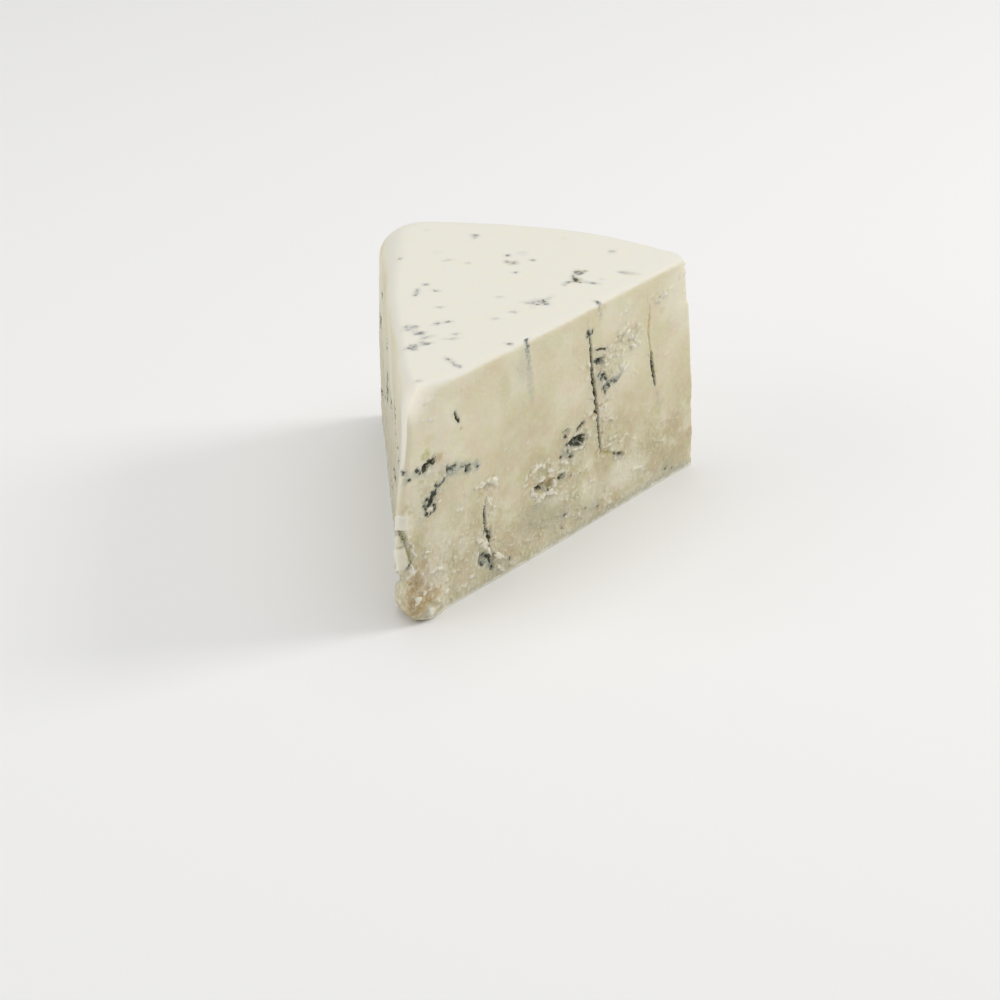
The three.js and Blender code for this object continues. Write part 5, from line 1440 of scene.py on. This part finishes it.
# Mould with frayed edges, wiped soft by the wire on the skin
rough_edge = paste.worked("MULTIPLY_ADD", paste.worked("SUBTRACT", small, 0.5), 1.2, paste.layer("mould"))
rough_edge = paste.worked("MULTIPLY_ADD", paste.worked("SUBTRACT", dust, 0.5), 0.6, rough_edge)
sharp = paste.between(rough_edge, -0.18, 0.18, 0.0, 0.96)
wiped = paste.between(rough_edge, -0.26, 0.34, 0.0, 0.92)
soft_share = paste.product(skin, paste.between(olive, 0.0, 1.0, 1.0, 0.0))
mould = paste.worked("MULTIPLY_ADD", soft_share, paste.worked("SUBTRACT", wiped, sharp), sharp)
mould_colour = paste.blend(paste.between(dust, 0.48, 0.78), MOULD_DARK, MOULD_GREEN)
mould_colour = paste.blend(paste.product(olive, 0.8), mould_colour, MOULD_OLIVE)
soft_edge = paste.product(soft_share, paste.between(rough_edge, 0.2, 0.8, 0.85, 0.0))
mould_colour = paste.blend(soft_edge, mould_colour, MOULD_BLUE)
colour = paste.blend(mould, colour, mould_colour)
# Moist sheen, fine grain and the light that soaks in
gloss = paste.worked("MULTIPLY_ADD", middling, 0.25, paste.between(mould, 0.0, 1.0, 0.36, 0.62))
height = paste.worked("MULTIPLY_ADD", small, 0.5, paste.product(streak, 0.3))
height = paste.worked("MULTIPLY_ADD", speckle, -0.35, height)
calm = paste.product(height, paste.between(skin, 0.0, 1.0, 1.0, 0.22))
calm = paste.product(calm, paste.between(torn, 0.0, 1.0, 0.8, 1.5))
paste.bumped(calm, GRAIN_STRENGTH, GRAIN_DEPTH)
paste.set(Base_Color=colour, Roughness=gloss, Specular_IOR_Level=PASTE_SHEEN)
paste.set(Subsurface_Weight=GLOW_SHARE, Subsurface_Radius=GLOW_REACH, Subsurface_Scale=GLOW_DEPTH)
wedge_mesh.materials.append(paste.material)
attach(wedge, "root")
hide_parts("cheese_wedge")

# Standing curds
# Crumbs that the knife tore loose and left round the pits, along the channels and on the broken tip.
# They are the same paste, broken in small blunt lumps, and stick to the faces by their own moisture.
CURD_SEED = 881
CURD_SIZES = (0.2, 0.6)
CURDS_PER_AREA = 0.45
CURD_SUNK = 0.4
CURD_LONG = (0.9, 1.6)
CURD_WIDE = (0.6, 1.0)
CURD_THICK = 0.8
CURD_TURN = (-30, 30)
CHIP_PLANES = 11
CHIP_LEAST = 0.62
CRUMBS = 260
CRUMB_SIZES = (0.12, 0.36)
CRUMB_ALONG = (1, 96)
CRUMB_UP = (0.8, 50)
CRUMB_LONG = (1.2, 3.0)
CRUMB_WIDE = (0.4, 0.75)
CRUMB_THICK = 0.6
CRUMB_TURN = (-40, 20)
CHUNK_THICKNESS = 0.75
CHUNK_SUNK = 0.3
CURD_CREAM = (0.80, 0.745, 0.57, 1)
CURD_GLOW_SHARE = 0.2
CURD_GLOW_DEPTH = 0.0005
CURD_FOOT = 0.02
# Larger chunks round the pits: along the face, height, half length, half height and slant
CHUNKS = (
    (24.7, 11.3, 1.5, 0.9, -12), (22.9, 12.6, 0.8, 0.5, -20), (26.3, 9.0, 0.6, 0.9, 0),
    (29.4, 6.4, 1.3, 0.7, -30), (29.6, 3.2, 0.8, 0.5, -40), (27.4, 26.4, 1.1, 0.8, -10),
    (28.4, 25.2, 0.5, 0.8, 0), (24.0, 26.4, 0.9, 0.45, 5), (22.4, 26.8, 0.6, 0.35, 0),
    (26.1, 21.9, 0.5, 0.9, 0), (24.8, 21.4, 0.4, 0.4, 0), (41.4, 22.9, 1.1, 0.6, 14),
    (43.2, 23.3, 1.0, 0.5, 0), (40.2, 22.4, 0.6, 0.4, 20), (44.9, 22.4, 0.7, 0.4, -30),
    (45.0, 15.2, 1.2, 0.55, 0), (46.9, 15.5, 1.0, 0.5, 8), (41.2, 16.8, 0.9, 0.45, -35),
    (42.6, 15.4, 0.6, 0.4, 0), (48.5, 16.9, 0.45, 0.8, 10), (50.2, 18.8, 0.9, 0.35, 0),
    (43.5, 19.8, 0.8, 0.35, 0), (73.6, 45.5, 1.1, 0.65, 10), (75.8, 43.8, 0.8, 0.55, -20),
    (77.5, 41.3, 0.6, 0.3, 0), (75.7, 40.9, 1.0, 0.5, -10), (70.9, 45.7, 0.9, 0.35, 20),
    (72.4, 44.0, 0.5, 0.3, 0), (65.8, 43.3, 1.0, 0.4, 0), (65.8, 40.5, 0.8, 0.45, -20),
    (72.2, 37.2, 0.9, 0.45, 35), (73.4, 36.2, 0.8, 0.35, 35), (7.2, 37.3, 1.0, 0.4, 5),
    (7.4, 28.0, 0.7, 0.5, 0), (55.2, 22.6, 0.9, 0.3, -8), (57.6, 22.3, 0.9, 0.28, 4),
    (54.3, 23.8, 0.5, 0.4, 0), (62.6, 27.9, 0.8, 0.4, 5), (53.2, 6.0, 0.8, 0.4, -10),
    (3.3, 6.8, 0.9, 0.6, 20), (5.5, 7.6, 0.6, 0.35, 30), (98.3, 55.6, 0.7, 0.45, 30),
    (8.8, 11.9, 1.0, 0.35, 14), (10.8, 11.4, 0.8, 0.35, -20), (6.2, 17.6, 0.9, 0.3, -10),
    (52.2, 20.6, 0.9, 0.35, -15),
)
curd_draw = np.random.default_rng(CURD_SEED)


def ball(subdivisions):
    lump = bmesh.new()
    bmesh.ops.create_icosphere(lump, subdivisions=subdivisions, radius=1.0)
    lump.verts.ensure_lookup_table()
    ball_points = np.array([v.co[:] for v in lump.verts])
    ball_faces = np.array([[v.index for v in f.verts] for f in lump.faces])
    lump.free()
    return ball_points, ball_faces


def seats_on(along, height, share):
    """Finder of the nearest point of a cut face for a place given along it and up it."""
    picked = np.nonzero((share > 0.5) & used)[0]
    finder = kdtree.KDTree(len(picked))
    for i in picked:
        finder.insert((along[i], height[i], 0), int(i))
    finder.balance()
    return finder


fine_ball = ball(3)
plain_ball = ball(2)
curd_points = []
curd_faces = []


def set_lump(shape, seat, sizes, sunk, slant, along_way, out_way):
    """A blunt crumb on the skin: a ball cut by planes at random, drawn out to its three half sizes."""
    ball_points, ball_faces = shape
    ways = curd_draw.normal(0, 1, (CHIP_PLANES, 3))
    ways /= np.linalg.norm(ways, axis=1, keepdims=True)
    reach = curd_draw.uniform(CHIP_LEAST, 1, CHIP_PLANES)
    along_ways = np.maximum(ball_points @ ways.T, 1e-3)
    chipped = ball_points * np.minimum((reach / along_ways).min(axis=1), 1.0)[:, None]
    tilt = math.radians(slant)
    first = along_way * math.cos(tilt) + np.array([0, 0, 1.0]) * math.sin(tilt)
    second = np.cross(out_way, first)
    middle = points[seat] - facing[seat] * sunk
    curd_faces.append(ball_faces + sum(len(lump) for lump in curd_points))
    curd_points.append(middle + (chipped * np.array(sizes)) @ np.array([first, second, out_way]))


def strew_curds(finder, patches, along_way, out_way):
    """Curds strewn inside each patch of white curd, as many as its area holds."""
    for place, height, half_length, half_height, slant in patches:
        turn = math.radians(slant)
        count = curd_draw.poisson(math.pi * half_length * half_height * CURDS_PER_AREA)
        for _ in range(count):
            angle = curd_draw.uniform(0, 2 * math.pi)
            reach = math.sqrt(curd_draw.uniform(0, 1))
            length = half_length * reach * math.cos(angle)
            rise = half_height * reach * math.sin(angle)
            a = place + length * math.cos(turn) - rise * math.sin(turn)
            h = height + length * math.sin(turn) + rise * math.cos(turn)
            _, seat, _ = finder.find((a, h, 0))
            size = lerp(*CURD_SIZES, curd_draw.uniform(0, 1) ** 2.5) * min(1, 0.5 + half_height)
            long_half = size * curd_draw.uniform(*CURD_LONG)
            wide_half = size * curd_draw.uniform(*CURD_WIDE)
            sizes = (long_half, wide_half, size * CURD_THICK)
            tilt = slant + curd_draw.uniform(*CURD_TURN)
            set_lump(plain_ball, seat, sizes, size * CURD_SUNK, tilt, along_way, out_way)


def strew_crumbs(finder, torn_places, count, along_way, out_way):
    """Long thin crumbs over the torn ground, clear of the tip."""
    still_to_set = count
    while still_to_set > 0:
        a = curd_draw.uniform(*CRUMB_ALONG)
        h = curd_draw.uniform(*CRUMB_UP)
        near_torn = float(patch_tint(np.array([a]), np.array([h]), torn_places)[0]) * smoothstep(a, 9, 16)
        if curd_draw.uniform(0, 1) > near_torn ** 2:
            continue
        _, seat, _ = finder.find((a, h, 0))
        size = lerp(*CRUMB_SIZES, curd_draw.uniform(0, 1) ** 2)
        long_half = size * curd_draw.uniform(*CRUMB_LONG)
        wide_half = size * curd_draw.uniform(*CRUMB_WIDE)
        sizes = (long_half, wide_half, size * CRUMB_THICK)
        tilt = curd_draw.uniform(*CRUMB_TURN)
        set_lump(plain_ball, seat, sizes, size * CURD_SUNK, tilt, along_way, out_way)
        still_to_set -= 1


right_seats = seats_on(seen_along, seen_height, on_right)
left_seats = seats_on(left_along, z, on_left)
for place, height, half_length, half_height, slant in CHUNKS:
    _, seat, _ = right_seats.find((place, height, 0))
    sizes = (half_length, half_height, CHUNK_THICKNESS * half_height)
    set_lump(fine_ball, seat, sizes, CHUNK_SUNK * sizes[2], slant, ALONG_RIGHT, OUT_RIGHT)
strew_curds(right_seats, RIGHT_CURD, ALONG_RIGHT, OUT_RIGHT)
strew_crumbs(right_seats, RIGHT_TORN, CRUMBS, ALONG_RIGHT, OUT_RIGHT)
strew_curds(left_seats, left_curd, ALONG_LEFT, OUT_LEFT)
strew_crumbs(left_seats, left_torn, CRUMBS // 4, ALONG_LEFT, OUT_LEFT)
curd_points = np.concatenate(curd_points)
curd_faces = np.concatenate(curd_faces)
curd_points[:, 2] = np.maximum(curd_points[:, 2], CURD_FOOT)
curd_mesh = bpy.data.meshes.new("standing_curds")
curd_mesh.from_pydata(((curd_points + WHEEL_AXIS) * MM).tolist(), [], curd_faces.tolist())
curd_mesh.update()
curd_mesh.shade_smooth()
curds = bpy.data.objects.new("standing_curds", curd_mesh)
bpy.context.scene.collection.objects.link(curds)
curd_finish = Finish("broken curd")
curd_mottle = curd_finish.grain(0.9, 3.0)
curd_colour = curd_finish.blend(curd_finish.between(curd_mottle, 0.4, 0.7), CURD_CREAM, CURD_AND_HIGHLIGHT_WHITE)
curd_finish.bumped(curd_finish.grain(0.3, 2.0), 0.4, 0.1)
curd_finish.set(Base_Color=curd_colour, Roughness=curd_finish.between(curd_mottle, 0.3, 0.7, 0.42, 0.6))
curd_finish.set(Subsurface_Weight=CURD_GLOW_SHARE, Subsurface_Radius=GLOW_REACH)
curd_finish.set(Subsurface_Scale=CURD_GLOW_DEPTH)
curd_mesh.materials.append(curd_finish.material)
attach(curds, "root")

# Floor, light and camera
# A plain pale sweep of paper, lit by a broad soft light overhead and a softer key from the right
# and behind; the camera stands to the right of the tip and looks down on it.
FLOOR_HALF = 3.0
FLOOR_COLOUR = (0.86, 0.86, 0.86, 1)
SKY_COLOUR = (1.0, 1.0, 1.0, 1)
SKY_STRENGTH = 0.45
LIGHT_AIM = (0, 0, 0.03)
floor_mesh = bpy.data.meshes.new("floor")
corners = [(-FLOOR_HALF, -FLOOR_HALF, 0), (FLOOR_HALF, -FLOOR_HALF, 0)]
corners += [(FLOOR_HALF, FLOOR_HALF, 0), (-FLOOR_HALF, FLOOR_HALF, 0)]
floor_mesh.from_pydata(corners, [], [(0, 1, 2, 3)])
floor = bpy.data.objects.new("floor", floor_mesh)
bpy.context.scene.collection.objects.link(floor)
paper = Finish("pale paper")
paper.set(Base_Color=FLOOR_COLOUR, Roughness=0.9)
floor_mesh.materials.append(paper.material)
floor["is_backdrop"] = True

world = bpy.data.worlds.new("studio")
world.use_nodes = True
sky = world.node_tree.nodes["Background"]
sky.inputs["Color"].default_value = SKY_COLOUR
sky.inputs["Strength"].default_value = SKY_STRENGTH
bpy.context.scene.world = world


def soft_light(name, place, side, power, tint):
    """A square soft light of that side, turned to the wedge."""
    lamp = bpy.data.lights.new(name, "AREA")
    lamp.shape = "RECTANGLE"
    lamp.size = side
    lamp.size_y = side
    lamp.energy = power
    lamp.color = tint
    holder = bpy.data.objects.new(name, lamp)
    bpy.context.scene.collection.objects.link(holder)
    holder.location = place
    holder.rotation_euler = (Vector(LIGHT_AIM) - Vector(place)).to_track_quat("-Z", "Y").to_euler()


soft_light("overhead", place=(0.05, 0.1, 0.9), side=0.9, power=3.3, tint=(1.0, 0.99, 0.97))
soft_light("key", place=(0.75, 0.50, 0.62), side=0.34, power=3.6, tint=(1.0, 0.98, 0.95))
soft_light("fill", place=(-0.75, -0.55, 0.5), side=0.8, power=2.6, tint=(1.0, 1.0, 1.0))

CAMERA_PLACE = (0.1742, -0.5186, 0.3249)
CAMERA_TURN = (math.radians(59.70), 0.0, math.radians(18.15))
CAMERA_LENS = 98.06
CAMERA_SENSOR = 36.0
CAMERA_CLEARANCE = 0.01
lens = bpy.data.cameras.new("camera")
lens.lens = CAMERA_LENS
lens.sensor_width = CAMERA_SENSOR
lens.sensor_fit = "HORIZONTAL"
lens.clip_start = CAMERA_CLEARANCE
camera = bpy.data.objects.new("camera", lens)
bpy.context.scene.collection.objects.link(camera)
camera.location = CAMERA_PLACE
camera.rotation_euler = CAMERA_TURN
bpy.context.scene.camera = camera
bpy.context.scene.view_settings.view_transform = "Standard"

shown_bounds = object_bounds()
sizes = {"cad": [list(corner) for corner in cad_bounds], "shown": [list(corner) for corner in shown_bounds]}
